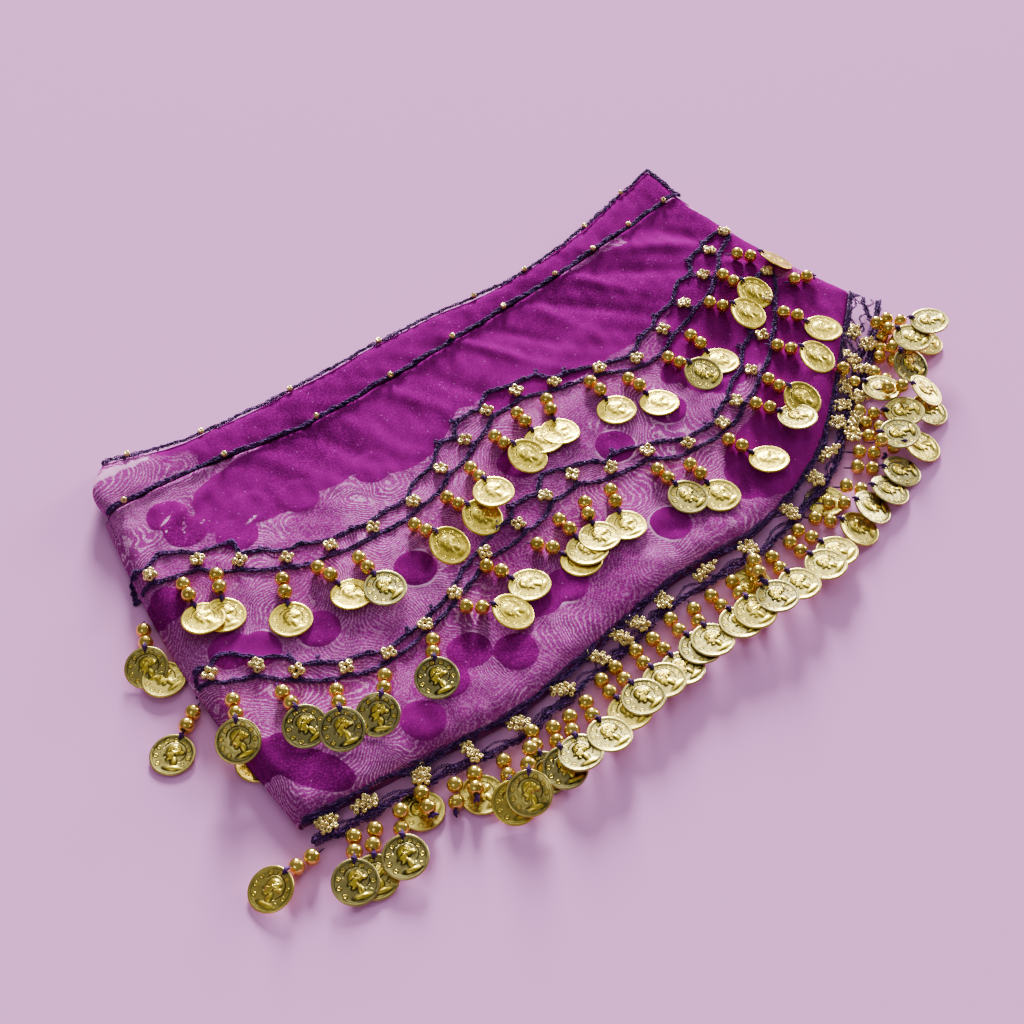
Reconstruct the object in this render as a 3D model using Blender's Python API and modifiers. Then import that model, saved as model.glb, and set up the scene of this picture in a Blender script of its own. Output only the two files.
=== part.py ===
"""Belly dance hip scarf of chiffon, crocheted trims and coins, folded and lying flat.

Metres, +Z up. The scarf lies on the plane Z = 0 with its waist edge along +X and the waist side
at +Y. The origin is the middle of its box, at the surface that it lies on.
Lengths below are in millimetres; MM turns them into metres.
"""
import math

import bmesh
import bpy
from mathutils import Matrix, Vector
from mathutils.bvhtree import BVHTree

MM = 0.001
NAME = "belly_dance_hip_scarf"

# The middle of the whole scarf's box in the frame that the tables below use.
MIDDLE_X = 31.4
MIDDLE_Y = 9.6

GAP = 0.3           # clearance between neighbouring pieces
LYING_GAP = 0.5     # clearance under what lies on the cloth
CLOTH = 1.0         # wall of the top panel and of the waistband
TRIM = 1.3          # wall of the crocheted bands and of the hem net
CORD_RADIUS = 1.2   # crocheted chains along the waist and the casing seam

# The folded stack
STACK = 8.5         # height of the folded layers under the top panel's upper face
EDGE_ROUND = 8.0    # width over which the stack rounds down at its edges
EDGE_HEIGHT = 4.6   # height that is left at the very edge
LAYERS_IN = 3.2     # how far the folded layers' edge lies inside the panel's
LAYER_INSET = 0.8   # how far a groove between two layers goes in
LAYER_COUNT = 2     # layers that show at the edge, under the top panel

COLUMNS = 34        # cells along the waist
PANEL_ROWS = 15     # cells from the casing seam to the hem
BAND_ROWS = 3       # cells across the waistband, its turned edge apart
CORD_CELLS = 40     # cells along a crocheted chain
WAIST_CHAIN_AT = 0.12   # the waist chain's place across the band, from its turned edge

# Plan of the scarf: one row a section, from the left fold to the right edge.
SECTIONS = [
    # waist_x, waist_y, seam_x, seam_y, hem_x, hem_y, bow
    (-118, 139, -132, 111.0, -155, -66, -5),
    (-85, 128, -92, 108.5, -110, -72, 0),
    (-40, 124, -46, 100.5, -62, -78, 0),
    (5, 124, 1, 99.5, -15, -73, 0),
    (50, 123, 48, 101.5, 32, -68, 0),
    (95, 119, 95, 104.0, 80, -70, 0),
    (135, 123, 138, 107.5, 126, -57, 0),
    (175, 132, 176, 112.0, 172, -27, -2),
    (208, 141, 206, 115.0, 219, 9, -4),
]

# Soft swellings of the stack, over the coins and beads that lie folded inside it.
SWELLINGS = [
    # x, y, long_radius, short_radius, turn, rise
    (-110, 40, 40, 24, -30, 1.8),
    (-60, 5, 45, 22, 10, 2.2),
    (35, 20, 50, 20, 25, 2.4),
    (110, -5, 45, 24, -10, 2.4),
    (170, 45, 34, 26, 50, 3.0),
    (-90, -55, 48, 16, -4, 1.6),
    (20, -45, 55, 18, 5, 1.6),
    (150, -30, 36, 18, 32, 2.2),
]

# Centre lines of the two crocheted rows that lie on the panel.
ROW_1 = [
    # x, y
    (-139, 70), (-127, 68), (-113, 61), (-97, 46), (-78, 36), (-52, 30), (-22, 34), (8, 46),
    (40, 56), (62, 50), (84, 40), (104, 37), (134, 44), (166, 59), (203, 75),
]
ROW_2 = [
    # x, y
    (-148, 9), (-134, 3), (-116, -15), (-92, -28), (-68, -29), (-46, -22), (-14, -10), (22, -2),
    (48, -8), (72, -17), (94, -22), (116, -17), (142, -4), (166, 14), (184, 27), (200, 38),
]
ROW_WIDTH = 11.0
TRIM_STEP = 8.0     # length of a cell along a crocheted band
NET_IN = 1.0        # where the hem net starts, outside the cloth's edge
NET_OUT = 9.5       # where it ends
NET_HEIGHT_IN = 3.6
NET_HEIGHT_OUT = 1.6

# One dangle: two round beads on a thread, a knot and a stamped coin.
BEAD_RADIUS = 3.0
BEAD_PITCH = 6.8
KNOT_AT = 11.0
KNOT_RADIUS = 1.1
COIN_AT = 19.4
COIN_RADIUS = 9.0
COIN_THICKNESS = 0.6
COIN_DIP = 8.0      # degrees that a coin leans down from the line of its beads
LEVEL_RISE = 1.5    # how much higher a coin lies that overlaps its neighbour

DANGLES_1 = [
    # first bead's x, y, heading in degrees, level over the neighbours
    (-154, 52, -120, 0), (-131, 53, -97, 1), (-119, 47, -120, 0), (-98, 29, -115, 0),
    (-82, 25, -84, 0), (-67, 18, -94, 1), (-38, 18, -78, 0), (-18, 22, -76, 0),
    (2, 29, -102, 1), (20, 37, -78, 0), (37, 42, -90, 1), (53, 40, -112, 2),
    (77, 36, -97, 0), (92, 27, -89, 0), (115, 26, -77, 1), (133, 30, -89, 0),
    (155, 40, -62, 1), (173, 50, -80, 0), (191, 58, -48, 0),
]
DANGLES_2 = [
    # first bead's x, y, heading in degrees, level over the neighbours
    (-161, -3, -150, 0), (-146, -8, -120, 0), (-129, -17, -100, 0), (-113, -30, -120, 1),
    (-94, -37, -138, 0), (-70, -34, -121, 0), (-48, -29, -50, 0), (-28, -18, -68, 1),
    (-4, -22, -64, 0), (12, -18, -97, 1), (25, -17, -110, 2), (39, -19, -112, 0),
    (63, -23, -91, 1), (76, -30, -93, 0), (99, -30, -70, 0), (124, -22, -67, 1),
    (138, -15, -80, 0), (159, -1, -63, 0), (179, 14, -66, 0), (198, 31, -16, 0),
]

# Plain solids of the reach of the hem's dangles, which lie close and over each other.
FRINGE_PARTS = 8
FRINGE_CELLS = 4            # cells along one of them
FRINGE_START = 10.3         # first edge, outside the cloth's edge
FRINGE_PROFILE = [
    # reach outwards, height
    (0.0, 2.2), (5.0, 5.4), (12.0, 5.4), (20.0, 3.2), (34.0, 2.0),
]
FRINGE_LEFT_TURN = -14.0    # degrees that the fringe's left end fans outwards
FRINGE_RIGHT_TURN = 6.0

COLOURS = {
    # name: base colour, roughness, metallic
    "chiffon": ((0.36, 0.02, 0.26), 0.62, 0.0),
    "hidden_chiffon": ((0.30, 0.015, 0.22), 0.7, 0.0),
    "band_chiffon": ((0.42, 0.04, 0.31), 0.62, 0.0),
    "crochet": ((0.035, 0.018, 0.10), 0.75, 0.0),
    "gold": ((0.83, 0.62, 0.22), 0.28, 1.0),
}


# ---------------------------------------------------------------- plan and heights

def spline(points, u):
    """Point at u, from 0 to 1, of a Catmull-Rom curve through evenly counted points."""
    last = len(points) - 1
    at = min(max(u, 0.0), 1.0) * last
    first = min(int(at), last - 1)
    t = at - first
    near = [points[min(max(first + k, 0), last)] for k in (-1, 0, 1, 2)]
    weights = (
        (-t + 2 * t * t - t ** 3) / 2,
        (2 - 5 * t * t + 3 * t ** 3) / 2,
        (t + 4 * t * t - 3 * t ** 3) / 2,
        (-t * t + t ** 3) / 2,
    )
    return tuple(sum(w * p[i] for w, p in zip(weights, near)) for i in range(len(points[0])))


def even_points(points, step):
    """Points about a step apart along the smooth curve through a list of points."""
    fine = [Vector(spline(points, k / 400)) for k in range(401)]
    length = sum((b - a).length for a, b in zip(fine, fine[1:]))
    count = max(2, round(length / step))
    spaced = [fine[0]]
    run = 0.0
    for a, b in zip(fine, fine[1:]):
        run += (b - a).length
        if run >= length * len(spaced) / count - 1e-6 and len(spaced) <= count:
            spaced.append(b)
    return spaced


def plan_point(u, v):
    """Plan place at u along the waist; v is 0 at the waist edge, 1 at the seam, 2 at the hem."""
    waist_x, waist_y, seam_x, seam_y, hem_x, hem_y, bow = spline(SECTIONS, u)
    if v <= 1.0:
        return waist_x + (seam_x - waist_x) * v, waist_y + (seam_y - waist_y) * v
    t = v - 1.0
    x = seam_x + (hem_x - seam_x) * t + bow * math.sin(math.pi * t)
    return x, seam_y + (hem_y - seam_y) * t


def outline(count):
    """The scarf's plan outline, counter-clockwise, as a closed list of points."""
    down = [plan_point(0.0, 2.0 * k / count) for k in range(count)]
    hem = [plan_point(k / count, 2.0) for k in range(count)]
    up = [plan_point(1.0, 2.0 - 2.0 * k / count) for k in range(count)]
    waist = [plan_point(1.0 - k / count, 0.0) for k in range(count)]
    return down + hem + up + waist


OUTLINE = outline(40)


def edge_distance(x, y):
    """Shortest distance from a plan point to the outline."""
    best = 1e9
    for (ax, ay), (bx, by) in zip(OUTLINE, OUTLINE[1:] + OUTLINE[:1]):
        dx, dy = bx - ax, by - ay
        t = ((x - ax) * dx + (y - ay) * dy) / (dx * dx + dy * dy + 1e-9)
        t = min(max(t, 0.0), 1.0)
        best = min(best, math.hypot(x - ax - t * dx, y - ay - t * dy))
    return best


def swelling(x, y):
    """Rise of the stack over the hidden coins and beads."""
    rise = 0.0
    for cx, cy, long_radius, short_radius, turn, height in SWELLINGS:
        a = math.radians(turn)
        along = ((x - cx) * math.cos(a) + (y - cy) * math.sin(a)) / long_radius
        across = (-(x - cx) * math.sin(a) + (y - cy) * math.cos(a)) / short_radius
        rise += height * math.exp(-along * along - across * across)
    return rise


def cloth_height(x, y, inwards=0.0):
    """Upper face of the cloth over the surface; inwards is how far a lower layer is drawn in."""
    share = min(max(edge_distance(x, y) - inwards, 0.0) / EDGE_ROUND, 1.0)
    rounding = math.sqrt(1.0 - (1.0 - share) ** 2)
    full = STACK + swelling(x, y)
    return EDGE_HEIGHT + (full - EDGE_HEIGHT) * rounding


def place(x, y, z):
    """A table point in millimetres as a point of the part in metres."""
    return Vector(((x - MIDDLE_X) * MM, (y - MIDDLE_Y) * MM, z * MM))


# ---------------------------------------------------------------- scene, materials, objects

def clear_scene():
    for item in list(bpy.data.objects):
        bpy.data.objects.remove(item, do_unlink=True)


def make_materials():
    made = {}
    for name, (colour, roughness, metallic) in COLOURS.items():
        material = bpy.data.materials.new(name)
        material.use_nodes = True
        shader = material.node_tree.nodes["Principled BSDF"]
        shader.inputs["Base Color"].default_value = (*colour, 1.0)
        shader.inputs["Roughness"].default_value = roughness
        shader.inputs["Metallic"].default_value = metallic
        made[name] = material
    return made


def add_object(name, mesh, material, collection):
    item = bpy.data.objects.new(name, mesh)
    if not mesh.materials:
        mesh.materials.append(material)
    collection.objects.link(item)
    return item


def grid_mesh(name, cells_u, cells_v, point):
    """A grid of cells whose corners lie at point(u, v), u and v from 0 to 1, facing up."""
    mesh = bpy.data.meshes.new(name)
    shape = bmesh.new()
    bmesh.ops.create_grid(shape, x_segments=cells_u, y_segments=cells_v, size=0.5)
    for corner in shape.verts:
        corner.co = point(corner.co.x + 0.5, corner.co.y + 0.5)
    shape.to_mesh(mesh)
    shape.free()
    return mesh


def thicken(item, wall, offset):
    """Solidify an open sheet; offset -1 puts the wall under it and 1 above it."""
    modifier = item.modifiers.new("wall", "SOLIDIFY")
    modifier.thickness = wall * MM
    modifier.offset = offset
    return item


def baked(item):
    """The evaluated mesh of an object."""
    graph = bpy.context.evaluated_depsgraph_get()
    return bpy.data.meshes.new_from_object(item.evaluated_get(graph))


class Ground:
    """What lies below: the surface and every piece added so far."""

    def __init__(self):
        self.trees = []

    def add(self, item):
        mesh = baked(item)
        corners = [item.matrix_world @ corner.co for corner in mesh.vertices]
        self.trees.append(BVHTree.FromPolygons(corners, [list(f.vertices) for f in mesh.polygons]))
        bpy.data.meshes.remove(mesh)

    def height(self, x, y):
        """Highest point over a plan point, in millimetres."""
        top = 0.0
        start = place(x, y, 100.0)
        for tree in self.trees:
            hit = tree.ray_cast(start, Vector((0, 0, -1)))[0]
            if hit is not None:
                top = max(top, hit.z / MM)
        return top

    def meets(self, corners, faces):
        """Whether a body given by its corners and faces cuts anything below."""
        body = BVHTree.FromPolygons(corners, faces)
        return any(body.overlap(tree) for tree in self.trees)

    def height_around(self, x, y, reach):
        """Highest point over a plan point and four more around it."""
        steps = ((0, 0), (reach, 0), (-reach, 0), (0, reach), (0, -reach))
        return max(self.height(x + dx, y + dy) for dx, dy in steps)


# ---------------------------------------------------------------- cloth

def make_top_panel(material, collection):
    """The chiffon panel from the casing seam to the hem, one wall that rounds over the edges."""
    seam_gap = GAP / 25

    def point(u, v):
        x, y = plan_point(u, 2.0 - v * (1.0 - seam_gap))
        return place(x, y, cloth_height(x, y))

    mesh = grid_mesh("top_panel", COLUMNS, PANEL_ROWS, point)
    return thicken(add_object("top_panel", mesh, material, collection), CLOTH, -1)


def make_waistband(material, collection):
    """The casing along the waist: its edge turns over and rounds down behind."""
    seam_gap = GAP / 25

    def point(u, v):
        x, y = plan_point(u, (1.0 - v) * (1.0 - seam_gap))
        return place(x, y, cloth_height(x, y) + 0.15)

    mesh = grid_mesh("waistband", COLUMNS, BAND_ROWS + 2, point)
    return thicken(add_object("waistband", mesh, material, collection), CLOTH, -1)


def make_hidden_layers(material, collection):
    """The folded layers under the panel as one solid, flat below and layered at its edges."""
    under = CLOTH + 2 * GAP

    def inset_plan(u, v, inset):
        """A plan point drawn in from the outline towards the scarf's middle line."""
        x, y = plan_point(u, v)
        near = edge_distance(x, y)
        if near >= inset:
            return x, y
        mid_x, mid_y = plan_point(0.5 + (u - 0.5) * 0.9, 1.0 + (v - 1.0) * 0.8)
        pull = Vector((mid_x - x, mid_y - y)).normalized() * (inset - near)
        return x + pull.x, y + pull.y

    def point(u, v):
        x, y = inset_plan(u, 2.0 - 2.0 * v, LAYERS_IN)
        return place(x, y, cloth_height(x, y, LAYERS_IN) - under)

    mesh = grid_mesh("hidden_layers", COLUMNS - 4, PANEL_ROWS + 1, point)
    shape = bmesh.new()
    shape.from_mesh(mesh)
    middle = place(MIDDLE_X, MIDDLE_Y, 0)
    border = [edge for edge in shape.edges if edge.is_boundary]
    steps = [-LAYER_INSET, LAYER_INSET] * LAYER_COUNT + [0.0]
    drops = len(steps)
    for number, outwards in enumerate(steps, 1):
        made = bmesh.ops.extrude_edge_only(shape, edges=border)["geom"]
        corners = [part for part in made if isinstance(part, bmesh.types.BMVert)]
        border = [part for part in made if isinstance(part, bmesh.types.BMEdge)]
        for corner in corners:
            way = Vector((corner.co.x - middle.x, corner.co.y - middle.y, 0)).normalized()
            corner.co += way * outwards * MM
            corner.co.z *= (drops - number) / (drops - number + 1)
    bmesh.ops.contextual_create(shape, geom=border)
    bmesh.ops.recalc_face_normals(shape, faces=shape.faces)
    shape.to_mesh(mesh)
    shape.free()
    return add_object("hidden_layers", mesh, material, collection)


# ---------------------------------------------------------------- crochet

def make_cord(name, route, ground, material, collection):
    """A round crocheted chain along a plan route, lying on what is below it."""
    curve = bpy.data.curves.new(name, "CURVE")
    curve.dimensions = "3D"
    curve.bevel_depth = CORD_RADIUS * MM
    curve.bevel_resolution = 1
    curve.use_fill_caps = True
    line = curve.splines.new("POLY")
    line.points.add(len(route) - 1)
    for corner, (x, y) in zip(line.points, route):
        z = ground.height_around(x, y, 2.5) + LYING_GAP + CORD_RADIUS
        corner.co = (*place(x, y, z), 1.0)
    draft = bpy.data.objects.new(name, curve)
    collection.objects.link(draft)
    mesh = baked(draft)
    bpy.data.objects.remove(draft, do_unlink=True)
    shape = bmesh.new()
    shape.from_mesh(mesh)
    bmesh.ops.remove_doubles(shape, verts=shape.verts, dist=0.00001)
    shape.to_mesh(mesh)
    shape.free()
    return add_object(name, mesh, material, collection)


def make_row(name, centre, ground, material, collection):
    """A crocheted band of even width along a row's centre line, lying on the panel."""
    points = even_points(centre, TRIM_STEP)
    cells = len(points) - 1

    def point(u, v):
        k = round(u * cells)
        ahead = points[min(k + 1, cells)] - points[max(k - 1, 0)]
        side = Vector((-ahead.y, ahead.x)).normalized()
        at = points[k] + side * (v - 0.5) * ROW_WIDTH
        return place(at.x, at.y, ground.height_around(at.x, at.y, 4.0) + LYING_GAP)

    mesh = grid_mesh(name, cells, 2, point)
    return thicken(add_object(name, mesh, material, collection), TRIM, 1)


def hem_point(u, out):
    """A plan point at a distance outside the hem's edge."""
    before = Vector(plan_point(max(u - 0.02, 0.0), 2.0))
    after = Vector(plan_point(min(u + 0.02, 1.0), 2.0))
    ahead = (after - before).normalized()
    turn = FRINGE_LEFT_TURN + (FRINGE_RIGHT_TURN - FRINGE_LEFT_TURN) * u
    side = Vector((ahead.y, -ahead.x))
    fan = math.radians(turn) * max(out - NET_OUT, 0.0) / FRINGE_PROFILE[-1][0]
    side.rotate(Matrix.Rotation(fan, 2))
    at = Vector(plan_point(u, 2.0)) + side * out
    return at.x, at.y


def make_hem_net(material, collection):
    """The open crocheted edging beyond the cloth, sloping down to the surface."""
    def point(u, v):
        out = NET_OUT + (NET_IN - NET_OUT) * v
        x, y = hem_point(u, out)
        return place(x, y, NET_HEIGHT_OUT + (NET_HEIGHT_IN - NET_HEIGHT_OUT) * v)

    mesh = grid_mesh("hem_net", COLUMNS, 2, point)
    return thicken(add_object("hem_net", mesh, material, collection), TRIM, -1)


# ---------------------------------------------------------------- dangles and fringe

def dangle_mesh(material):
    """Two beads, a knot and a coin as one body along +X, its first bead at the origin."""
    profile = [(-BEAD_RADIUS - 1.6, 0.0), (-BEAD_RADIUS - 1.6, 0.5)]
    for centre in (0.0, BEAD_PITCH):
        for turn in (150, 90, 30):
            a = math.radians(turn)
            profile.append((centre + BEAD_RADIUS * math.cos(a), BEAD_RADIUS * math.sin(a)))
    profile += [(KNOT_AT - 0.6, 0.7), (KNOT_AT, KNOT_RADIUS), (KNOT_AT + 1.2, 0.25),
                (KNOT_AT + 1.2, 0.0)]

    string = bpy.data.meshes.new("string")
    shape = bmesh.new()
    corners = [shape.verts.new((x * MM, 0.0, r * MM)) for x, r in profile]
    line = [shape.edges.new(pair) for pair in zip(corners, corners[1:])]
    bmesh.ops.spin(shape, geom=corners + line, axis=(1, 0, 0), cent=(0, 0, 0),
                   angle=math.tau, steps=6, use_merge=True)
    bmesh.ops.remove_doubles(shape, verts=shape.verts, dist=0.00002)
    bmesh.ops.recalc_face_normals(shape, faces=shape.faces)
    shape.to_mesh(string)
    shape.free()

    disc = bpy.data.meshes.new("disc")
    shape = bmesh.new()
    bmesh.ops.create_cone(shape, cap_ends=True, segments=12, radius1=COIN_RADIUS * MM,
                          radius2=COIN_RADIUS * MM, depth=COIN_THICKNESS * MM)
    near_edge = COIN_AT - COIN_RADIUS
    lean = Matrix.Rotation(math.radians(COIN_DIP), 4, "Y")
    bmesh.ops.transform(shape, verts=shape.verts, matrix=Matrix.Translation(
        (near_edge * MM, 0, 0)) @ lean @ Matrix.Translation((COIN_RADIUS * MM, 0, 0)))
    shape.to_mesh(disc)
    shape.free()

    scratch = bpy.context.scene.collection
    body = bpy.data.objects.new("string_body", string)
    coin = bpy.data.objects.new("coin_body", disc)
    scratch.objects.link(body)
    scratch.objects.link(coin)
    joined = body.modifiers.new("coin", "BOOLEAN")
    joined.operation = "UNION"
    joined.object = coin
    mesh = baked(body)
    mesh.name = "dangle"
    mesh.materials.clear()
    mesh.materials.append(material)
    bpy.data.objects.remove(body, do_unlink=True)
    bpy.data.objects.remove(coin, do_unlink=True)
    return mesh


def lay_dangle(item, x, y, heading, level, ground):
    """Rest a dangle on its first bead and its coin's far edge, then lift it clear."""
    a = math.radians(heading)
    ahead = Vector((math.cos(a), math.sin(a)))
    reach = COIN_AT + COIN_RADIUS
    far = Vector((x, y)) + ahead * reach
    bead_z = ground.height(x, y) + BEAD_RADIUS
    lean = reach * math.sin(math.radians(COIN_DIP)) * (2 * COIN_RADIUS / reach)
    far_z = ground.height(far.x, far.y) + COIN_THICKNESS + lean + level * LEVEL_RISE
    pitch = math.atan2(bead_z - far_z, reach)
    turn = Matrix.Rotation(a, 4, "Z") @ Matrix.Rotation(pitch, 4, "Y")
    at = Matrix.Translation(place(x, y, bead_z)) @ turn
    corners = [at @ corner.co for corner in item.data.vertices]
    short = 0.0
    for spot in corners:
        under = ground.height(spot.x / MM + MIDDLE_X, spot.y / MM + MIDDLE_Y)
        short = max(short, under + GAP - spot.z / MM)
    faces = [list(face.vertices) for face in item.data.polygons]
    while ground.meets([spot + Vector((0, 0, short * MM)) for spot in corners], faces):
        short += GAP
    item.matrix_world = Matrix.Translation((0, 0, (short + GAP) * MM)) @ at
    return item


def make_dangles(prefix, table, mesh, ground, material, collection):
    """Lay a row's dangles, those at the lowest level first."""
    for number, row in sorted(enumerate(table, 1), key=lambda pair: pair[1][3]):
        item = add_object("%s_%02d" % (prefix, number), mesh, material, collection)
        lay_dangle(item, *row, ground)
        bpy.context.view_layer.update()
        ground.add(item)


def make_fringe(number, material, collection):
    """A plain solid of the reach of the hem's beads and coins over one stretch."""
    start = number / FRINGE_PARTS
    width = 1.0 / FRINGE_PARTS
    trim = 0.0012
    rows = len(FRINGE_PROFILE) - 1

    def point(u, v):
        reach, height = FRINGE_PROFILE[rows - round(v * rows)]
        x, y = hem_point(start + trim + u * (width - 2 * trim), FRINGE_START + reach)
        return place(x, y, height)

    name = "fringe_%d" % (number + 1)
    mesh = grid_mesh(name, FRINGE_CELLS, rows, point)
    shape = bmesh.new()
    shape.from_mesh(mesh)
    border = [edge for edge in shape.edges if edge.is_boundary]
    made = bmesh.ops.extrude_edge_only(shape, edges=border)["geom"]
    for part in made:
        if isinstance(part, bmesh.types.BMVert):
            part.co.z = 0.0
    bmesh.ops.contextual_create(
        shape, geom=[part for part in made if isinstance(part, bmesh.types.BMEdge)])
    bmesh.ops.recalc_face_normals(shape, faces=shape.faces)
    shape.to_mesh(mesh)
    shape.free()
    return add_object(name, mesh, material, collection)


# ---------------------------------------------------------------- assembly

def main():
    clear_scene()
    collection = bpy.data.collections.new(NAME)
    bpy.context.scene.collection.children.link(collection)
    materials = make_materials()
    ground = Ground()

    make_hidden_layers(materials["hidden_chiffon"], collection)
    ground.add(make_top_panel(materials["chiffon"], collection))
    ground.add(make_waistband(materials["band_chiffon"], collection))

    waist_route = [plan_point(k / CORD_CELLS, WAIST_CHAIN_AT) for k in range(1, CORD_CELLS)]
    seam_route = [plan_point(k / CORD_CELLS, 1.0) for k in range(1, CORD_CELLS)]
    for name, route in (("waist_edging", waist_route), ("seam_chain", seam_route)):
        make_cord(name, route, ground, materials["crochet"], collection)
    for name, centre in (("crochet_row_1", ROW_1), ("crochet_row_2", ROW_2)):
        ground.add(make_row(name, centre, ground, materials["crochet"], collection))
    ground.add(make_hem_net(materials["crochet"], collection))
    for number in range(FRINGE_PARTS):
        ground.add(make_fringe(number, materials["gold"], collection))

    mesh = dangle_mesh(materials["gold"])
    for prefix, table in (("dangle_1", DANGLES_1), ("dangle_2", DANGLES_2)):
        make_dangles(prefix, table, mesh, ground, materials["gold"], collection)


main()
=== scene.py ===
import math
import random

import bmesh
import bpy
import numpy as np
from mathutils import Matrix, Vector


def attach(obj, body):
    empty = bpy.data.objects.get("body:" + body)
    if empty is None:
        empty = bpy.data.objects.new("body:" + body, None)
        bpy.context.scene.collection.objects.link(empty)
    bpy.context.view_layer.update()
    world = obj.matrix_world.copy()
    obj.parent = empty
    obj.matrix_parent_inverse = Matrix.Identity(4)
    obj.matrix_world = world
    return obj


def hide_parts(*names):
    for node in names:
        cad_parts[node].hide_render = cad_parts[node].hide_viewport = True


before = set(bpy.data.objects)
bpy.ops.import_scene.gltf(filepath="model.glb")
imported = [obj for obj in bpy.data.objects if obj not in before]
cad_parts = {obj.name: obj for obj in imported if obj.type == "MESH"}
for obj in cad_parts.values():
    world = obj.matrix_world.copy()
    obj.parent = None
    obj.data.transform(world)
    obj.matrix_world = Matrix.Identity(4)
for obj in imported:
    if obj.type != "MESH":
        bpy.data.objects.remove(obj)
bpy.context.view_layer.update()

# ------------------------------------------------------------------ camera, floor and light
# The scarf lies on a plain mauve table top. The camera looks down on it from the hem's side and
# from the folded left end. A soft light and a strong low one stand behind the waist, so what lies
# flat shines and shadows fall towards the camera. Weaker ones stand at the left and the right.
MM = 0.001
MIDDLE = np.array([31.4, 9.6])      # the frame's origin in the scarf's own plan, in millimetres
LOOK_FROM = 320.3                   # degrees round the scarf
LOOK_DOWN = 48.0
CAMERA_AWAY = 739.6                 # millimetres from the middle of the view
VIEW_HEIGHT = 10.0


def set_down(name, data):
    """An object for a mesh, a light or the camera, put in the scene."""
    item = bpy.data.objects.new(name, data)
    bpy.context.scene.collection.objects.link(item)
    return item


camera_data = bpy.data.cameras.new("camera")
camera_data.lens = 61.1
camera_data.clip_start = 0.01
camera = set_down("camera", camera_data)
aim = Vector((-MIDDLE[0] * MM, -MIDDLE[1] * MM, VIEW_HEIGHT * MM))
turn = math.radians(LOOK_FROM)
dip = math.radians(LOOK_DOWN)
sight = Vector((-math.sin(turn) * math.cos(dip), math.cos(turn) * math.cos(dip), -math.sin(dip)))
camera.location = aim - sight * CAMERA_AWAY * MM
camera.rotation_euler = sight.to_track_quat("-Z", "Y").to_euler()
bpy.context.scene.camera = camera

floor_shape = bmesh.new()
bmesh.ops.create_grid(floor_shape, x_segments=2, y_segments=2, size=4.0)
floor_mesh = bpy.data.meshes.new("floor")
floor_shape.to_mesh(floor_mesh)
floor_shape.free()
floor = set_down("floor", floor_mesh)
floor.location.z = -0.0001
floor_paint = bpy.data.materials.new("mauve_table_top")
floor_paint.use_nodes = True
floor_shader = floor_paint.node_tree.nodes["Principled BSDF"]
floor_shader.inputs["Base Color"].default_value = (0.86, 0.36, 0.80, 1.0)
floor_shader.inputs["Roughness"].default_value = 1.0
floor_shader.inputs["Specular IOR Level"].default_value = 0.0
floor_mesh.materials.append(floor_paint)

world = bpy.data.worlds.new("soft_room")
world.use_nodes = True
world.node_tree.nodes["Background"].inputs["Color"].default_value = (1.0, 0.98, 1.0, 1.0)
world.node_tree.nodes["Background"].inputs["Strength"].default_value = 0.19
bpy.context.scene.world = world

LIGHTS = [
    # name, kind, round, up, width in metres or of a sun's disc in degrees, watts or strength
    ("behind_waist", "AREA", 50.0, 42.0, 2.1, 17.0),
    ("left_side", "AREA", 200.0, 48.0, 0.8, 3.6),
    ("low_behind", "SUN", 52.0, 14.0, 14.0, 12.0),
    ("low_right", "SUN", 2.0, 15.0, 18.0, 2.4),
]
LIGHT_AWAY = 2.0
for name, kind, around, up, width, energy in LIGHTS:
    lamp = bpy.data.lights.new(name, kind)
    lamp.energy = energy
    if kind == "AREA":
        lamp.size = width
    else:
        lamp.angle = math.radians(width)
    light = set_down(name, lamp)
    a, b = math.radians(around), math.radians(up)
    way = Vector((math.cos(a) * math.cos(b), math.sin(a) * math.cos(b), math.sin(b)))
    light.location = way * LIGHT_AWAY
    light.rotation_euler = way.to_track_quat("Z", "Y").to_euler()

# ------------------------------------------------------------------ the chiffon panel
# One long rectangle of thin magenta chiffon, folded over itself in four. Its top layer shows,
# from the casing's seam to the hem: it rounds over the left fold and swells over the coins and
# beads that lie between the layers, and its soft creases run out from the gathered seam.
STACK = 8.5             # height of the folded layers
EDGE_ROUND = 8.0        # how far in the top layer rounds up from the edge
EDGE_HEIGHT = 4.6
SECTIONS = np.array([
    # waist_x, waist_y, seam_x, seam_y, hem_x, hem_y, bow
    (-118, 139, -132, 111.0, -155, -66, -6),
    (-85, 128, -92, 108.5, -110, -72, 0),
    (-40, 124, -46, 100.5, -62, -78, 0),
    (5, 124, 1, 99.5, -15, -73, 0),
    (50, 123, 48, 101.5, 32, -68, 0),
    (95, 119, 95, 104.0, 80, -70, 0),
    (135, 123, 138, 107.5, 126, -57, 0),
    (175, 132, 176, 112.0, 172, -27, -2),
    (208, 141, 206, 115.0, 219, 9, -4),
])
SWELLINGS = [
    # x, y, long_radius, short_radius, turn, rise
    (-110, 40, 40, 24, -30, 1.8),
    (-60, 5, 45, 22, 10, 2.2),
    (35, 20, 50, 20, 25, 2.4),
    (110, -5, 45, 24, -10, 2.4),
    (170, 45, 34, 26, 50, 3.0),
    (-90, -55, 48, 16, -4, 1.6),
    (20, -45, 55, 18, 5, 1.6),
    (150, -30, 36, 18, 32, 2.2),
]
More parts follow.
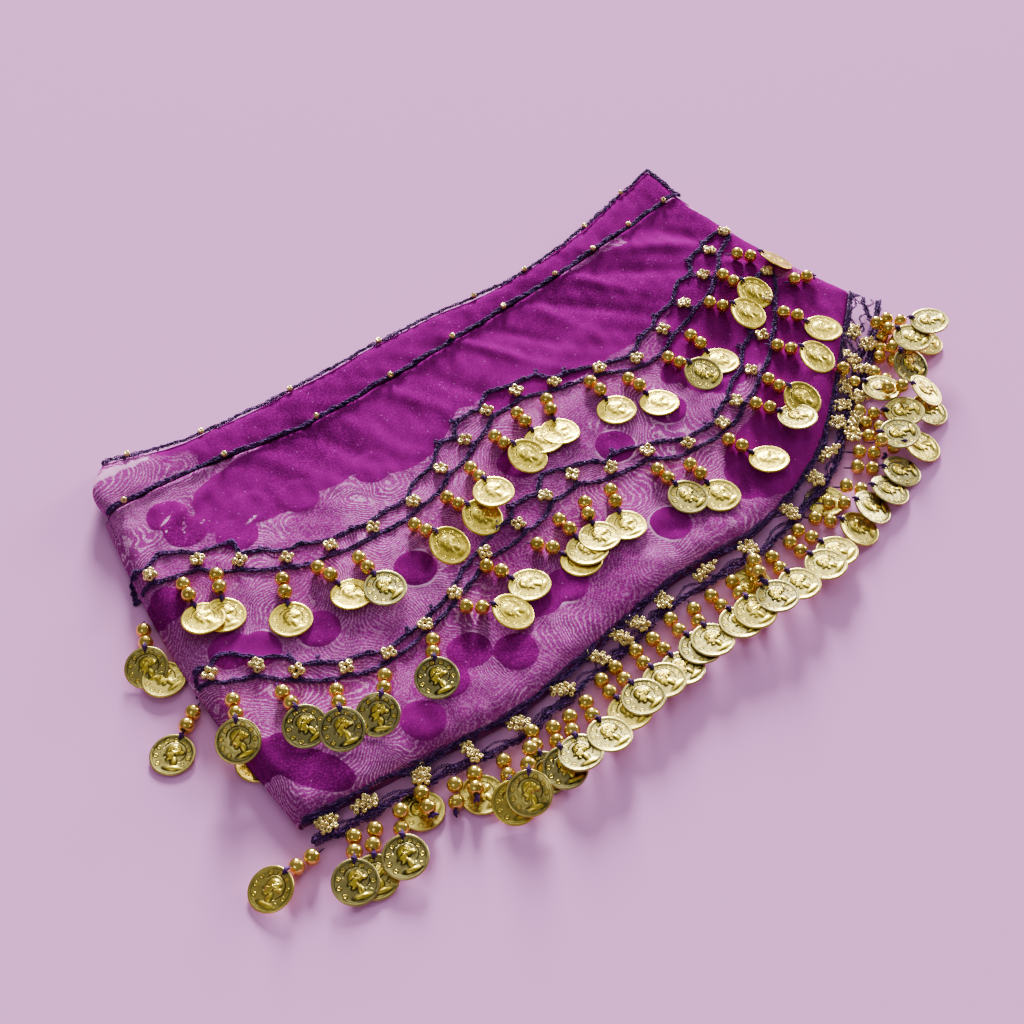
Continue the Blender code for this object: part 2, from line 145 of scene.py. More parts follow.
CREASES = [
    # x, y, half_length, half_width, turn, rise
    (58, 84, 26, 3.0, -62, 1.0),
    (74, 86, 20, 3.6, -58, -1.0),
    (96, 84, 22, 4.0, -75, 1.0),
    (112, 80, 30, 4.6, -50, -1.3),
    (128, 88, 22, 4.0, -60, 1.4),
    (148, 84, 30, 5.0, -42, -1.4),
    (166, 92, 26, 4.6, -38, 1.6),
    (184, 92, 26, 5.0, -60, -1.2),
    (30, 78, 34, 4.6, -70, -1.0),
    (10, 82, 22, 4.0, -64, 1.0),
    (-18, 78, 26, 4.6, -78, 0.8),
    (-34, 82, 22, 4.0, -72, -0.8),
    (-58, 84, 26, 4.6, -64, 0.7),
    (88, 62, 40, 6.5, 12, 1.0),
    (20, 66, 44, 6.5, 22, 0.9),
    (-100, 92, 18, 3.2, 20, 0.9),
    (-120, 88, 14, 3.0, 60, 0.7),
    (140, 70, 26, 5.5, 30, 1.0),
    (192, 62, 24, 4.2, -70, -1.2),
    (150, 22, 26, 4.2, 38, -1.0),
    (60, 26, 24, 3.6, 50, 0.8),
    (-30, 8, 26, 3.8, -20, 0.8),
    (-40, -48, 40, 4.6, 6, -0.9),
    (60, -52, 44, 4.6, -4, -1.0),
    (-120, -38, 26, 4.6, -20, 0.8),
    (-148, 40, 20, 3.0, -80, -0.7),
]
# Coins of the layer below, pressed against the chiffon: it clings to them as plain round patches.
HIDDEN_COINS = [
    # x, y
    (-114, 92), (-113, 80), (-97, 64), (-64, 66), (-141, 51), (-133, 15), (-124, 8), (-100, 1),
    (-51, 1), (-60, -46), (-46, -58), (-95, -61), (-152, -35), (-146, -38), (-22, -44), (-8, -45),
    (48, -48), (60, 1), (93, 3), (-84, 74), (-30, 60), (118, -44), (-76, -52), (20, 20),
]
COIN_RADIUS = 9.0
COIN_PRESS = 0.4
# Wide stretches where the layers cling together, so that no pattern shows between them.
CLINGING = [
    # x, y, long_radius, short_radius, turn
    (60, 84, 150, 22, 0),
    (-62, 86, 44, 15, -2),
    (0, 66, 30, 14, 24),
    (120, 70, 90, 22, 8),
    (190, 75, 26, 40, 0),
    (186, 6, 34, 27, 42),
    (156, 32, 54, 27, 36),
    (-34, 82, 78, 21, 1),
    (116, -44, 36, 19, 14),
    (150, -22, 34, 18, 36),
    (190, 104, 30, 14, 0),
    (126, 20, 22, 9, 10),
    (-140, -52, 16, 8, -60),
]
# Small slack folds where a sliver of the layer below shows pale.
SLIVERS = [
    # x, y, half_length, half_width, turn
    (-116, 90, 5.0, 0.8, 30), (-108, 86, 4.0, 0.7, 80), (-112, 82, 4.5, 0.9, 60),
    (-104, 80, 3.0, 0.6, 20), (-119, 84, 3.0, 0.5, 110), (-87, 68, 5.0, 1.0, 15),
    (205, 98, 10.0, 1.8, -78), (-42, 44, 4.0, 0.9, 70), (-38, 38, 5.0, 0.8, 85),
    (-57, 30, 3.0, 1.6, 40), (-29, 22, 6.0, 0.8, 100), (20, -8, 5.0, 0.8, 75),
    (52, 22, 6.0, 0.9, 60), (60, 18, 5.0, 0.8, 50), (-94, 14, 4.0, 1.0, 80),
    (-152, 12, 5.0, 1.0, 95), (-66, -8, 5.0, 0.9, 85), (90, 0, 5.0, 1.0, 70),
]


def smooth(table, u):
    """Places at u, from 0 to 1, along a Catmull-Rom curve through a table's rows."""
    table = np.asarray(table, float)
    last = len(table) - 1
    at = np.clip(np.asarray(u, float), 0.0, 1.0) * last
    first = np.minimum(at.astype(int), last - 1)
    t = (at - first)[..., None]
    near = [table[np.clip(first + k, 0, last)] for k in (-1, 0, 1, 2)]
    return (near[0] * (-t + 2 * t ** 2 - t ** 3) + near[1] * (2 - 5 * t ** 2 + 3 * t ** 3)
            + near[2] * (t + 4 * t ** 2 - 3 * t ** 3) + near[3] * (-t ** 2 + t ** 3)) / 2


def plan(u, v):
    """Plan place at u along the waist; v is 0 at the waist edge, 1 at the seam, 2 at the hem."""
    row = smooth(SECTIONS, u)
    upper = np.clip(v, 0.0, 1.0)[..., None]
    lower = np.clip(v - 1.0, 0.0, 1.0)[..., None]
    place = row[..., 0:2] + (row[..., 2:4] - row[..., 0:2]) * upper
    place = place + (row[..., 4:6] - row[..., 2:4]) * lower
    place[..., 0] += row[..., 6] * np.sin(math.pi * lower[..., 0])
    return place


def round_edge(count):
    """Even steps round the four edges, from 0 to 4, and u and v at each."""
    around = np.linspace(0.0, 4.0, count, endpoint=False)
    leg = around.astype(int)
    part = around - leg
    still = np.zeros(count)
    u = np.choose(leg, [still, part, still + 1, 1 - part])
    v = np.choose(leg, [2 * part, still + 2, 2 - 2 * part, still])
    return around, u, v


outline = plan(*round_edge(240)[1:])


def edge_distance(x, y):
    """Distance from plan places to the scarf's outline, below zero outside it."""
    nearest = np.full(x.shape, 1e9)
    inside = np.zeros(x.shape, bool)
    for (ax, ay), (bx, by) in zip(outline, np.roll(outline, -1, axis=0)):
        dx, dy = bx - ax, by - ay
        t = np.clip(((x - ax) * dx + (y - ay) * dy) / (dx * dx + dy * dy), 0.0, 1.0)
        nearest = np.minimum(nearest, np.hypot(x - ax - t * dx, y - ay - t * dy))
        crosses = (ay > y) != (by > y)
        with np.errstate(divide="ignore", invalid="ignore"):
            inside ^= crosses & (x < (bx - ax) * (y - ay) / (by - ay) + ax)
    return np.where(inside, nearest, -nearest)


def turned(x, y, centre_x, centre_y, degrees):
    """Plan places measured along and across a direction, from a centre."""
    a = math.radians(degrees)
    dx, dy = x - centre_x, y - centre_y
    return dx * math.cos(a) + dy * math.sin(a), -dx * math.sin(a) + dy * math.cos(a)


def patch_distance(x, y):
    """Distance outside the nearest hidden coin, below zero over one."""
    nearest = np.full(x.shape, 60.0)
    for cx, cy in HIDDEN_COINS:
        nearest = np.minimum(nearest, np.hypot(x - cx, y - cy) - COIN_RADIUS)
    return nearest


def in_ovals(x, y, table, margin):
    """From 0 to 1: how far plan places are inside a table's ovals."""
    most = np.zeros(x.shape)
    for cx, cy, long_radius, short_radius, degrees in table:
        along, across = turned(x, y, cx, cy, degrees)
        out = np.hypot(along / long_radius, across / short_radius)
        most = np.maximum(most, np.clip((1.0 + margin / 2 - out) / margin, 0.0, 1.0))
    return most


def cloth_height(x, y):
    """Upper face of the chiffon over the table, in millimetres."""
    share = np.clip(edge_distance(x, y) / EDGE_ROUND, 0.0, 1.0)
    rounding = np.sqrt(1.0 - (1.0 - share) ** 2)
    full = np.full(x.shape, STACK)
    for cx, cy, long_radius, short_radius, degrees, rise in SWELLINGS:
        along, across = turned(x, y, cx, cy, degrees)
        full += rise * np.exp(-(along / long_radius) ** 2 - (across / short_radius) ** 2)
    for cx, cy, half_length, half_width, degrees, rise in CREASES:
        along, across = turned(x, y, cx, cy, degrees)
        full += rise * np.exp(-(along / half_length) ** 2 - (across / half_width) ** 2)
    # Hidden coins press up a little, and the slack cloth ripples.
    full += COIN_PRESS * np.clip(0.5 - patch_distance(x, y) / 1.5, 0.0, 1.0)
    full += 0.22 * np.sin(x * 0.31 + 1.7 * np.sin(y * 0.12)) * np.sin(y * 0.23 + x * 0.07)
    full += 0.12 * np.sin(x * 0.62 - y * 0.41 + 2.0 * np.sin(x * 0.09 + y * 0.17))
    return EDGE_HEIGHT + (full - EDGE_HEIGHT) * rounding


def to_frame(x, y, z):
    """Plan places and heights in millimetres as points of the frame in metres."""
    return np.stack([(x - MIDDLE[0]) * MM, (y - MIDDLE[1]) * MM, z * MM], axis=-1)


def sheet_object(name, points, attributes):
    """A sheet of cells from a grid of points, with a number at each corner per attribute."""
    rows, columns = points.shape[:2]
    index = np.arange(rows * columns).reshape(rows, columns)
    cells = np.stack([index[:-1, :-1], index[:-1, 1:], index[1:, 1:], index[1:, :-1]], axis=-1)
    mesh = bpy.data.meshes.new(name)
    mesh.from_pydata(points.reshape(-1, 3).tolist(), [], cells.reshape(-1, 4).tolist())
    for key, values in attributes.items():
        layer = mesh.attributes.new(key, "FLOAT", "POINT")
        layer.data.foreach_set("value", np.asarray(values, np.float32).ravel())
    mesh.shade_smooth()
    return set_down(name, mesh)


FOLD_RADIUS = 2.1
FOLD_ANGLE = 165.0
FOLD_STEPS = 7


def rolled(places, heights, outward):
    """Extra rows past an edge that roll the cloth over and under itself."""
    rows = []
    for k in range(1, FOLD_STEPS + 1):
        a = math.radians(FOLD_ANGLE) * k / FOLD_STEPS
        at = places + outward * FOLD_RADIUS * math.sin(a)
        rows.append(to_frame(at[:, 0], at[:, 1], heights - FOLD_RADIUS * (1.0 - math.cos(a))))
    return rows


def plan_of(points):
    """Plan places, x and y, of points in the frame."""
    return points[..., 0] / MM + MIDDLE[0], points[..., 1] / MM + MIDDLE[1]


PANEL_CELLS = (240, 130)
u = np.linspace(0.0, 1.0, PANEL_CELLS[0] + 1)
v = np.linspace(2.0, 1.005, PANEL_CELLS[1] + 1)     # from the hem to just under the casing
grid_u, grid_v = np.meshgrid(u, v, indexing="ij")
places = plan(grid_u, grid_v)
heights = cloth_height(places[..., 0], places[..., 1])
panel_points = to_frame(places[..., 0], places[..., 1], heights)
fold = rolled(places[0], heights[0], np.array([-1.0, 0.12]))
panel_points = np.concatenate([np.array(fold[::-1]), panel_points])
plan_x, plan_y = plan_of(panel_points)
top_panel = sheet_object("top_panel_chiffon", panel_points, {
    "coin": patch_distance(plan_x, plan_y),
    "cling": in_ovals(plan_x, plan_y, CLINGING, 0.3),
    "sliver": in_ovals(plan_x, plan_y, SLIVERS, 1.2),
})


class Value:
    """A number that a material's nodes work out, to reckon with like any other."""

    def __init__(self, nodes, socket):
        self.nodes, self.socket = nodes, socket

    def __add__(self, other):
        return self.nodes.maths("ADD", self, other)

    def __sub__(self, other):
        return self.nodes.maths("SUBTRACT", self, other)

    def __mul__(self, other):
        return self.nodes.maths("MULTIPLY", self, other)

    def __abs__(self):
        return self.nodes.maths("ABSOLUTE", self)


class Nodes:
    """A material's node tree, with short ways to add and join its nodes."""

    def __init__(self, name):
        self.material = bpy.data.materials.new(name)
        self.material.use_nodes = True
        self.tree = self.material.node_tree
        self.shader = self.tree.nodes["Principled BSDF"]

    def add(self, kind, **settings):
        node = self.tree.nodes.new("ShaderNode" + kind)
        for key, value in settings.items():
            if hasattr(node, key):
                setattr(node, key, value)
            else:
                node.inputs[key.replace("_", " ")].default_value = value
        return node

    def join(self, output, node, socket):
        if isinstance(output, Value):
            output = output.socket
        self.tree.links.new(output, node.inputs[socket])

    def put(self, value, node, socket):
        """Join an output to a socket, or set the socket to a plain number or colour."""
        if isinstance(value, tuple):
            node.inputs[socket].default_value = (*value, 1.0)
        elif isinstance(value, (int, float)):
            node.inputs[socket].default_value = value
        else:
            self.join(value, node, socket)

    def finish(self, **settings):
        """Set the shader's own sockets."""
        for key, value in settings.items():
            self.put(value, self.shader, key.replace("_", " "))

    def maths(self, operation, *values):
        node = self.add("Math", operation=operation)
        for place, value in enumerate(values):
            self.put(value, node, place)
        return Value(self, node.outputs[0])

    def split(self, output, kind="SeparateXYZ"):
        """The three numbers of a vector, or of a colour."""
        node = self.add(kind)
        self.join(output, node, 0)
        return [Value(self, part) for part in node.outputs]

    def attribute(self, name, output="Fac"):
        return Value(self, self.add("Attribute", attribute_name=name).outputs[output])

    def place(self):
        return self.add("TexCoord").outputs["Object"]

    def distance(self, where, point=(0.0, 0.0, 0.0)):
        node = self.add("VectorMath", operation="DISTANCE")
        self.join(where, node, 0)
        node.inputs[1].default_value = point
        return Value(self, node.outputs["Value"])

    def noise(self, scale, detail=2.0, rough=0.5, output="Fac"):
        node = self.add("TexNoise", Scale=scale, Detail=detail, Roughness=rough)
        self.join(self.place(), node, "Vector")
        return Value(self, node.outputs[output])

    def ramp(self, value, low, high):
        """0 at low and 1 at high, smooth between; low may be the greater."""
        node = self.add("MapRange", interpolation_type="SMOOTHSTEP", From_Min=low, From_Max=high)
        self.join(value, node, "Value")
        return Value(self, node.outputs["Result"])

    def blend(self, share, first, second):
        """A mix of two colours, given as numbers or as outputs."""
        node = self.add("Mix", data_type="RGBA")
        self.join(share, node, "Factor")
        self.put(first, node, 6)
        self.put(second, node, 7)
        return node.outputs[2]

    def bump(self, height, distance, strength=1.0, under=None):
        node = self.add("Bump", Distance=distance, Strength=strength)
        self.join(height, node, "Height")
        if under is not None:
            self.join(under, node, "Normal")
        return node.outputs["Normal"]


DEEP = (0.120, 0.001, 0.092)        # two layers clinging together, in shade and in light
PLAIN = (0.200, 0.002, 0.152)
VEIL = (0.315, 0.016, 0.245)        # where they part
STREAK = (0.88, 0.41, 0.76)         # the pale lines
GLINT = (0.72, 0.24, 0.62)
WEAVES = [
    # how far a layer's weave drifts, its threads in a metre, thin and full line, across or along
    (94.0, 250.0, 0.78, 1.0, 1),
    (108.0, 340.0, 0.74, 1.0, 0),
]


def chiffon(name):
    """Two sheer layers: where they part, their weaves cross in fine winding pale lines."""
    nodes = Nodes(name)
    ramp, noise = nodes.ramp, nodes.noise
    coin = nodes.attribute("coin")
    sliver = nodes.attribute("sliver")

    # The two layers' threads, and the pale lines where they lie between each other.
    drift = nodes.split(noise(15.0, 2.0, 0.35, "Color"), "SeparateColor")
    axes = nodes.split(nodes.place())
    ring = noise(85.0, 3.0, 0.6) * 3.2 + nodes.maths("MINIMUM", coin, 8.0) * 0.10
    lines = []
    for number, (reach, threads, thin, full, axis) in enumerate(WEAVES):
        count = axes[axis] * threads + (drift[number] * reach + ring)
        wave = abs(nodes.maths("SINE", count * math.pi))
        lines.append(ramp(wave, thin, full))
    which = ramp(noise(30.0, 2.0), 0.40, 0.60)
    net = nodes.maths("MAXIMUM", lines[0] * which, lines[1] * nodes.maths("SUBTRACT", 1.15, which))
    broken = ramp(noise(1250.0, 2.0, 0.7), 0.40, 0.58)
    loud = ramp(noise(26.0, 3.0), 0.36, 0.62)
    net = net * (broken * 0.84 + 0.18) * (loud * 0.62 + 0.16)

    # Where the layers part: away from the hidden coins, and where they don't cling.
    near_coin = coin + (noise(90.0, 2.0) * 2.4 - 1.2)
    loose = ramp(nodes.attribute("cling") - (noise(60.0, 4.0) * 1.4 - 0.7), 0.60, 0.48)
    apart = ramp(near_coin, -0.2, 0.3) * loose
    halo = ramp(near_coin, 0.0, 0.4) * ramp(near_coin, 1.5, 0.7)
    halo = halo * ramp(noise(50.0, 2.0), 0.54, 0.68)

    grain = noise(1300.0, 2.0, 0.6)
    solid = nodes.blend(ramp(noise(16.0, 3.0), 0.35, 0.65), DEEP, PLAIN)
    solid = nodes.blend(ramp(grain, 0.42, 0.66), solid, tuple(1.25 * c for c in PLAIN))
    misty = nodes.blend(loud * 0.75 + 0.15, PLAIN, VEIL)
    misty = nodes.blend(ramp(noise(1250.0, 1.0, 0.5), 0.44, 0.62) * 0.13, misty, STREAK)
    misty = nodes.blend(net, misty, STREAK)
    colour = nodes.blend(apart, solid, misty)
    frayed = nodes.maths("MAXIMUM", ramp(noise(500.0, 3.0, 0.7), 0.42, 0.55),
                         ramp(sliver, 1.2, 1.5))
    pale = nodes.maths("MAXIMUM", halo * loose, ramp(sliver, 0.5, 0.8) * frayed)
    colour = nodes.blend(pale * 0.8, colour, STREAK)

    # Painted glints: a few threads are drawn lighter, as if they catch the light.
    glint = nodes.add("TexVoronoi", Scale=520.0)
    nodes.join(nodes.place(), glint, "Vector")
    bright = nodes.split(glint.outputs["Color"], "SeparateColor")[0]
    spark = ramp(bright, 0.80, 0.95) * ramp(glint.outputs["Distance"], 0.24, 0.08)
    colour = nodes.blend(spark * 0.45, colour, GLINT)
    normal = nodes.bump(net, 0.0002, 0.25, nodes.bump(grain, 0.0002, 0.3))
    nodes.finish(Base_Color=colour, Normal=normal, Roughness=0.7, Specular_IOR_Level=0.0)
    return nodes.material


CHIFFON_WALL = 0.35


def finish_cloth(item, material):
    """Give a sheet its thickness and its cloth."""
    item.data.materials.append(material)
    thick = item.modifiers.new("thickness", "SOLIDIFY")
    thick.thickness = CHIFFON_WALL * MM
    thick.offset = -1.0


finish_cloth(top_panel, chiffon("panel_chiffon"))
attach(top_panel, "root")
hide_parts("top_panel")

# ------------------------------------------------------------------ the waist casing
# The panel's upper edge, turned over and sewn down as a soft casing about 25 mm wide. It rolls
# over behind at the waist. Its left end is open: pale patches stand for what shows through it.
BAND_CELLS = (280, 22)
END_ROLL = [
    # x, y, half_length, half_width, turn
    (-121.5, 129.5, 8.0, 2.6, -3), (-108.5, 127.8, 6.5, 1.4, -8),
]
v = np.linspace(0.99, 0.0, BAND_CELLS[1] + 1)       # from the seam to the waist
grid_u, grid_v = np.meshgrid(u, v, indexing="ij")
places = plan(grid_u, grid_v)
puff = 0.9 * np.sin(math.pi * grid_v) ** 0.7
gathers = 0.40 * np.sin(grid_u * 95.0 + 2.0 * np.sin(grid_u * 23.0)) * grid_v
gathers += 0.5 * np.sin(grid_u * 41.0 + 3.0 * grid_v) * np.sin(grid_u * 13.0) * (1 - grid_v)
heights = cloth_height(places[..., 0], places[..., 1]) + 0.15 + puff + gathers
end_lift = np.exp(-(grid_u / 0.026) ** 2) * np.sin(math.pi * grid_v)
heights += 1.6 * end_lift
places[..., 0] -= 6.0 * end_lift
band_points = to_frame(places[..., 0], places[..., 1], heights)
turn_over = rolled(places[:, -1], heights[:, -1], np.array([0.0, 1.0]))
band_points = np.concatenate([band_points, np.stack(turn_over, axis=1)], axis=1)
plan_x, plan_y = plan_of(band_points)
waistband = sheet_object("waist_casing", band_points, {
    "coin": np.full(plan_x.shape, 6.0),
    "cling": np.clip((plan_x + 112.0) / 40.0, 0.0, 1.3),
    "sliver": 2.0 * in_ovals(plan_x, plan_y, END_ROLL, 0.25),
})
finish_cloth(waistband, chiffon("casing_chiffon"))
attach(waistband, "root")
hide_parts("waistband")

# ------------------------------------------------------------------ the layers under the panel
# Three more layers of the same scarf lie folded under the panel. Their edges and hems show as
# thin sheets, each a little in or out of the one above, round a core that the panel rests on.
LAYERS = [
    # height_at_edge, inwards, wander
    (3.3, 0.8, 0.5),
    (2.2, -0.4, 0.8),
    (1.1, 1.2, 0.6),
    (0.45, 0.4, 0.4),
]
RING = 420          # steps round the edge


def skin(rings, closed=False, hubs=()):
    """A shape through rings of points: its ends are flat or drawn to hubs, or it meets itself."""
    shape = bmesh.new()
    made = [[shape.verts.new(point) for point in ring] for ring in rings]
    ends = (made[0], made[-1])
    if closed:
        made.append(made[0])
    for first, second in zip(made, made[1:]):
        for k in range(len(first)):
            shape.faces.new((first[k - 1], first[k], second[k], second[k - 1]))
    for hub, ring in zip(hubs, ends):
        middle = shape.verts.new(hub)
        for k in range(len(ring)):
            shape.faces.new((middle, ring[k - 1], ring[k]))
    if not closed and not hubs:
        shape.faces.new(ends[0])
        shape.faces.new(ends[1])
    bmesh.ops.recalc_face_normals(shape, faces=shape.faces)
    return shape


around, ring_u, ring_v = round_edge(RING)
ring = plan(ring_u, ring_v)
centre = plan(0.5 + (ring_u - 0.5) * 0.86, 1.0 + (ring_v - 1.0) * 0.7)
inward = centre - ring
inward /= np.linalg.norm(inward, axis=1)[:, None]
rows = []
for number, (height, depth, wander) in enumerate(LAYERS):
    sway = wander * np.sin(around * (9 + 2 * number)) * np.sin(around * 3.1 + number)
    for deeper, drop in ((6.0, -0.30), (0.0, -0.10), (0.0, 0.15), (6.0, 0.30)):
        at = ring + inward * (depth + deeper + sway)[:, None]
        rows.append(to_frame(at[:, 0], at[:, 1], np.full(RING, height - drop)))
crown = []
for depth in (9.0, 16.0, 30.0, 60.0):
    at = ring + inward * np.minimum(depth, 0.9 * np.linalg.norm(centre - ring, axis=1))[:, None]
    level = cloth_height(at[:, 0], at[:, 1]) - 1.2
    crown.append(to_frame(at[:, 0], at[:, 1], level))
stack_shape = skin(rows[::-1] + crown)
stack_mesh = bpy.data.meshes.new("hidden_layers_cloth")
stack_shape.to_mesh(stack_mesh)
stack_shape.free()
stack_mesh.shade_smooth()
hidden_layers = set_down("hidden_layers_cloth", stack_mesh)
layer_cloth = Nodes("folded_chiffon")
shade = layer_cloth.ramp(layer_cloth.noise(60.0, 3.0), 0.35, 0.65)
layer_cloth.finish(
    Base_Color=layer_cloth.blend(shade, (0.16, 0.004, 0.12), (0.28, 0.012, 0.22)),
    Normal=layer_cloth.bump(layer_cloth.noise(1500.0, 1.0), 0.0002, 0.4), Roughness=0.7)
stack_mesh.materials.append(layer_cloth.material)
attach(hidden_layers, "root")
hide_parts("hidden_layers")

# ------------------------------------------------------------------ crocheted chains
# Dark violet cotton yarn, crocheted in a plain chain: each stitch is a pair of short slanting
# strands over a third one, and a thinner thread wanders beside it. One chain covers the casing's
# seam, and an open one edges the waist, with small loops that stand out past the cloth.
YARN = 0.42          # radius of a strand
STITCH = 1.7         # length of one chain stitch


def strand(points, radius, sides=6):
    """A closed tube with tapered ends through a few points, in millimetres."""
    points = [Vector(point) for point in points]
    angles = [math.tau * number / sides for number in range(sides)]
    rings = []
    for k, point in enumerate(points):
        ahead = (points[min(k + 1, len(points) - 1)] - points[max(k - 1, 0)]).normalized()
        across = ahead.cross(Vector((0, 0, 1))).normalized()
        over = across.cross(ahead)
        size = radius * (0.55 if k in (0, len(points) - 1) else 1.0)
        rings.append([(point + (across * math.cos(a) + over * math.sin(a)) * size) * MM
                      for a in angles])
    return skin(rings)


def template(name, shapes):
    """One small mesh from several shapes, kept out of the scene for copies to be made from."""
    mesh = bpy.data.meshes.new(name)
    joined = bmesh.new()
    for shape in shapes:
        part_mesh = bpy.data.meshes.new("part")
        shape.to_mesh(part_mesh)
        shape.free()
        joined.from_mesh(part_mesh)
        bpy.data.meshes.remove(part_mesh)
    joined.to_mesh(mesh)
    joined.free()
    mesh.shade_smooth()
    return bpy.data.objects.new(name, mesh)


stitch = template("chain_stitch", [
    strand([(-0.9, 0.10, 0.0), (-0.1, 0.70, 0.30), (0.7, 0.80, 0.22), (1.3, 0.25, -0.1)], YARN, 4),
    strand([(-0.9, -0.10, 0.1), (-0.1, -0.70, 0.25), (0.7, -0.80, 0.1), (1.3, -0.25, -0.2)],
           YARN, 4),
    strand([(-1.2, 0.0, -0.35), (1.3, 0.0, -0.35)], YARN, 4),
])
thin_stitch = template("thin_stitch", [
    strand([(-1.0, 0.10, 0.0), (0.1, 0.80, 0.25), (1.3, 0.10, 0.0)], YARN, 4),
    strand([(-1.0, -0.10, 0.1), (0.2, -0.80, 0.0), (1.3, -0.10, -0.1)], YARN, 4),
])


def new_tree(name, inputs):
    """A Geometry Nodes tree with named inputs, and short ways to add its nodes."""
    tree = bpy.data.node_groups.new(name, "GeometryNodeTree")
    tree.interface.new_socket("Geometry", in_out="INPUT", socket_type="NodeSocketGeometry")
    for label, kind in inputs:
        tree.interface.new_socket(label, in_out="INPUT", socket_type="NodeSocket" + kind)
    tree.interface.new_socket("Geometry", in_out="OUTPUT", socket_type="NodeSocketGeometry")

    def add(kind, joins=(), **settings):
        node = tree.nodes.new(kind)
        for key, value in settings.items():
            setattr(node, key, value)
        for socket, value in joins:
            if isinstance(value, bpy.types.NodeSocket):
                tree.links.new(value, node.inputs[socket])
            else:
                node.inputs[socket].default_value = value
        return node.outputs

    def copy_at(points, piece, rotation, size, material):
        """End the tree with copies of a piece at points, made real and given their material."""
        copies = add("GeometryNodeInstanceOnPoints",
                     [("Points", points), ("Instance", add("GeometryNodeObjectInfo",
                                                           [("Object", piece)])["Geometry"]),
                      ("Rotation", rotation), ("Scale", size)])
        real = add("GeometryNodeRealizeInstances", [("Geometry", copies[0])])
        finished = add("GeometryNodeSetMaterial", [("Geometry", real[0]), ("Material", material)])
        tree.links.new(finished[0], tree.nodes.new("NodeGroupOutput").inputs[0])

    return tree, tree.nodes.new("NodeGroupInput").outputs, add, copy_at


def run_tree(item, tree, values):
    """Run a tree on an object, keep its result as a plain mesh, and drop the modifier."""
    modifier = item.modifiers.new(tree.name, "NODES")
    modifier.node_group = tree
    for socket in tree.interface.items_tree:
        if socket.in_out == "INPUT" and socket.name in values:
            modifier[socket.identifier] = values[socket.name]
    graph = bpy.context.evaluated_depsgraph_get()
    mesh = bpy.data.meshes.new_from_object(item.evaluated_get(graph))
    item.modifiers.clear()
    old = item.data
    mesh.name = item.name
    item.data = mesh
    bpy.data.meshes.remove(old)


chain_tree, given, add, copy_at = new_tree("Crochet along a path", [
    ("Stitch", "Object"), ("Stitch length", "Float"), ("Stitch size", "Float"),
    ("Twist", "Float"), ("Seed", "Int"), ("Yarn", "Material")])
curve = add("GeometryNodeMeshToCurve", [("Mesh", given["Geometry"])])
spaced = add("GeometryNodeResampleCurve",
             [("Curve", curve[0]), ("Length", given["Stitch length"])], mode="LENGTH")
tangent = add("GeometryNodeInputTangent")
along = add("FunctionNodeAlignRotationToVector", [("Vector", tangent[0])], axis="X")
upright = add("FunctionNodeAlignRotationToVector",
              [("Rotation", along[0]), ("Vector", (0.0, 0.0, 1.0))], axis="Z", pivot_axis="X")
low = add("ShaderNodeMath", [(0, given["Twist"]), (1, -1.0)], operation="MULTIPLY")
roll = add("FunctionNodeRandomValue",
           [("Seed", given["Seed"]), (2, low[0]), (3, given["Twist"])], data_type="FLOAT")
wobble = add("FunctionNodeAxisAngleToRotation", [("Axis", (1.0, 0.0, 0.0)), ("Angle", roll[1])])
facing = add("FunctionNodeRotateRotation",
             [("Rotation", upright[0]), ("Rotate By", wobble[0])], rotation_space="LOCAL")
tightness = add("FunctionNodeRandomValue", [(2, 0.8), (3, 1.25)], data_type="FLOAT")
stitch_size = add("ShaderNodeMath", [(0, tightness[1]), (1, given["Stitch size"])],
                  operation="MULTIPLY")
copy_at(spaced[0], given["Stitch"], facing[0], stitch_size[0], given["Yarn"])

yarn = Nodes("violet_yarn")
fibres = yarn.noise(2600.0, 3.0, 0.6)
worn = yarn.ramp(yarn.noise(300.0, 3.0), 0.35, 0.7)
yarn_colour = yarn.blend(worn, (0.036, 0.007, 0.078), (0.098, 0.020, 0.165))
yarn_colour = yarn.blend(yarn.ramp(fibres, 0.60, 0.80), yarn_colour, (0.26, 0.10, 0.34))
yarn.finish(Base_Color=yarn_colour, Normal=yarn.bump(fibres, 0.0003, 0.7), Roughness=0.8,
            Specular_IOR_Level=0.2)

# Heights of everything laid so far, on a grid of one-millimetre cells over the whole scarf.
CELL = 1.0
map_x = np.arange(-215.0, 275.0, CELL)
map_y = np.arange(-145.0, 165.0, CELL)
cells_x, cells_y = np.meshgrid(map_x, map_y, indexing="ij")
inside = edge_distance(cells_x, cells_y) > 0
laid = np.where(inside, cloth_height(cells_x, cells_y), 0.0)
laid[inside & (cells_y > 99)] += 0.8


def laid_height(x, y, reach):
    """Highest thing laid within reach of a plan place."""
    i = int(round((x - map_x[0]) / CELL))
    j = int(round((y - map_y[0]) / CELL))
    n = int(math.ceil(reach / CELL))
    window = laid[max(i - n, 0):i + n + 1, max(j - n, 0):j + n + 1]
    return float(window.max()) if window.size else 0.0


def path_object(name, routes):
    """A mesh of open lines, one for each route of points in the plan, with heights."""
    corners, lines = [], []
    for route in routes:
        first = len(corners)
        corners += [tuple(to_frame(x, y, z)) for x, y, z in route]
        lines += [(first + k, first + k + 1) for k in range(len(route) - 1)]
    mesh = bpy.data.meshes.new(name)
    mesh.from_pydata(corners, lines, [])
    return set_down(name, mesh)


def lying(route, above):
    """A plan route with heights: smooth, and just over whatever it lies on."""
    heights = np.array([laid_height(x, y, 1.0) for x, y in route]) + above
    padded = np.concatenate([heights[:1], heights, heights[-1:]])
    eased = np.maximum((padded[:-2] + padded[1:-1] + padded[2:]) / 3, heights - 0.3)
    return [(x, y, z) for (x, y), z in zip(route, eased)]


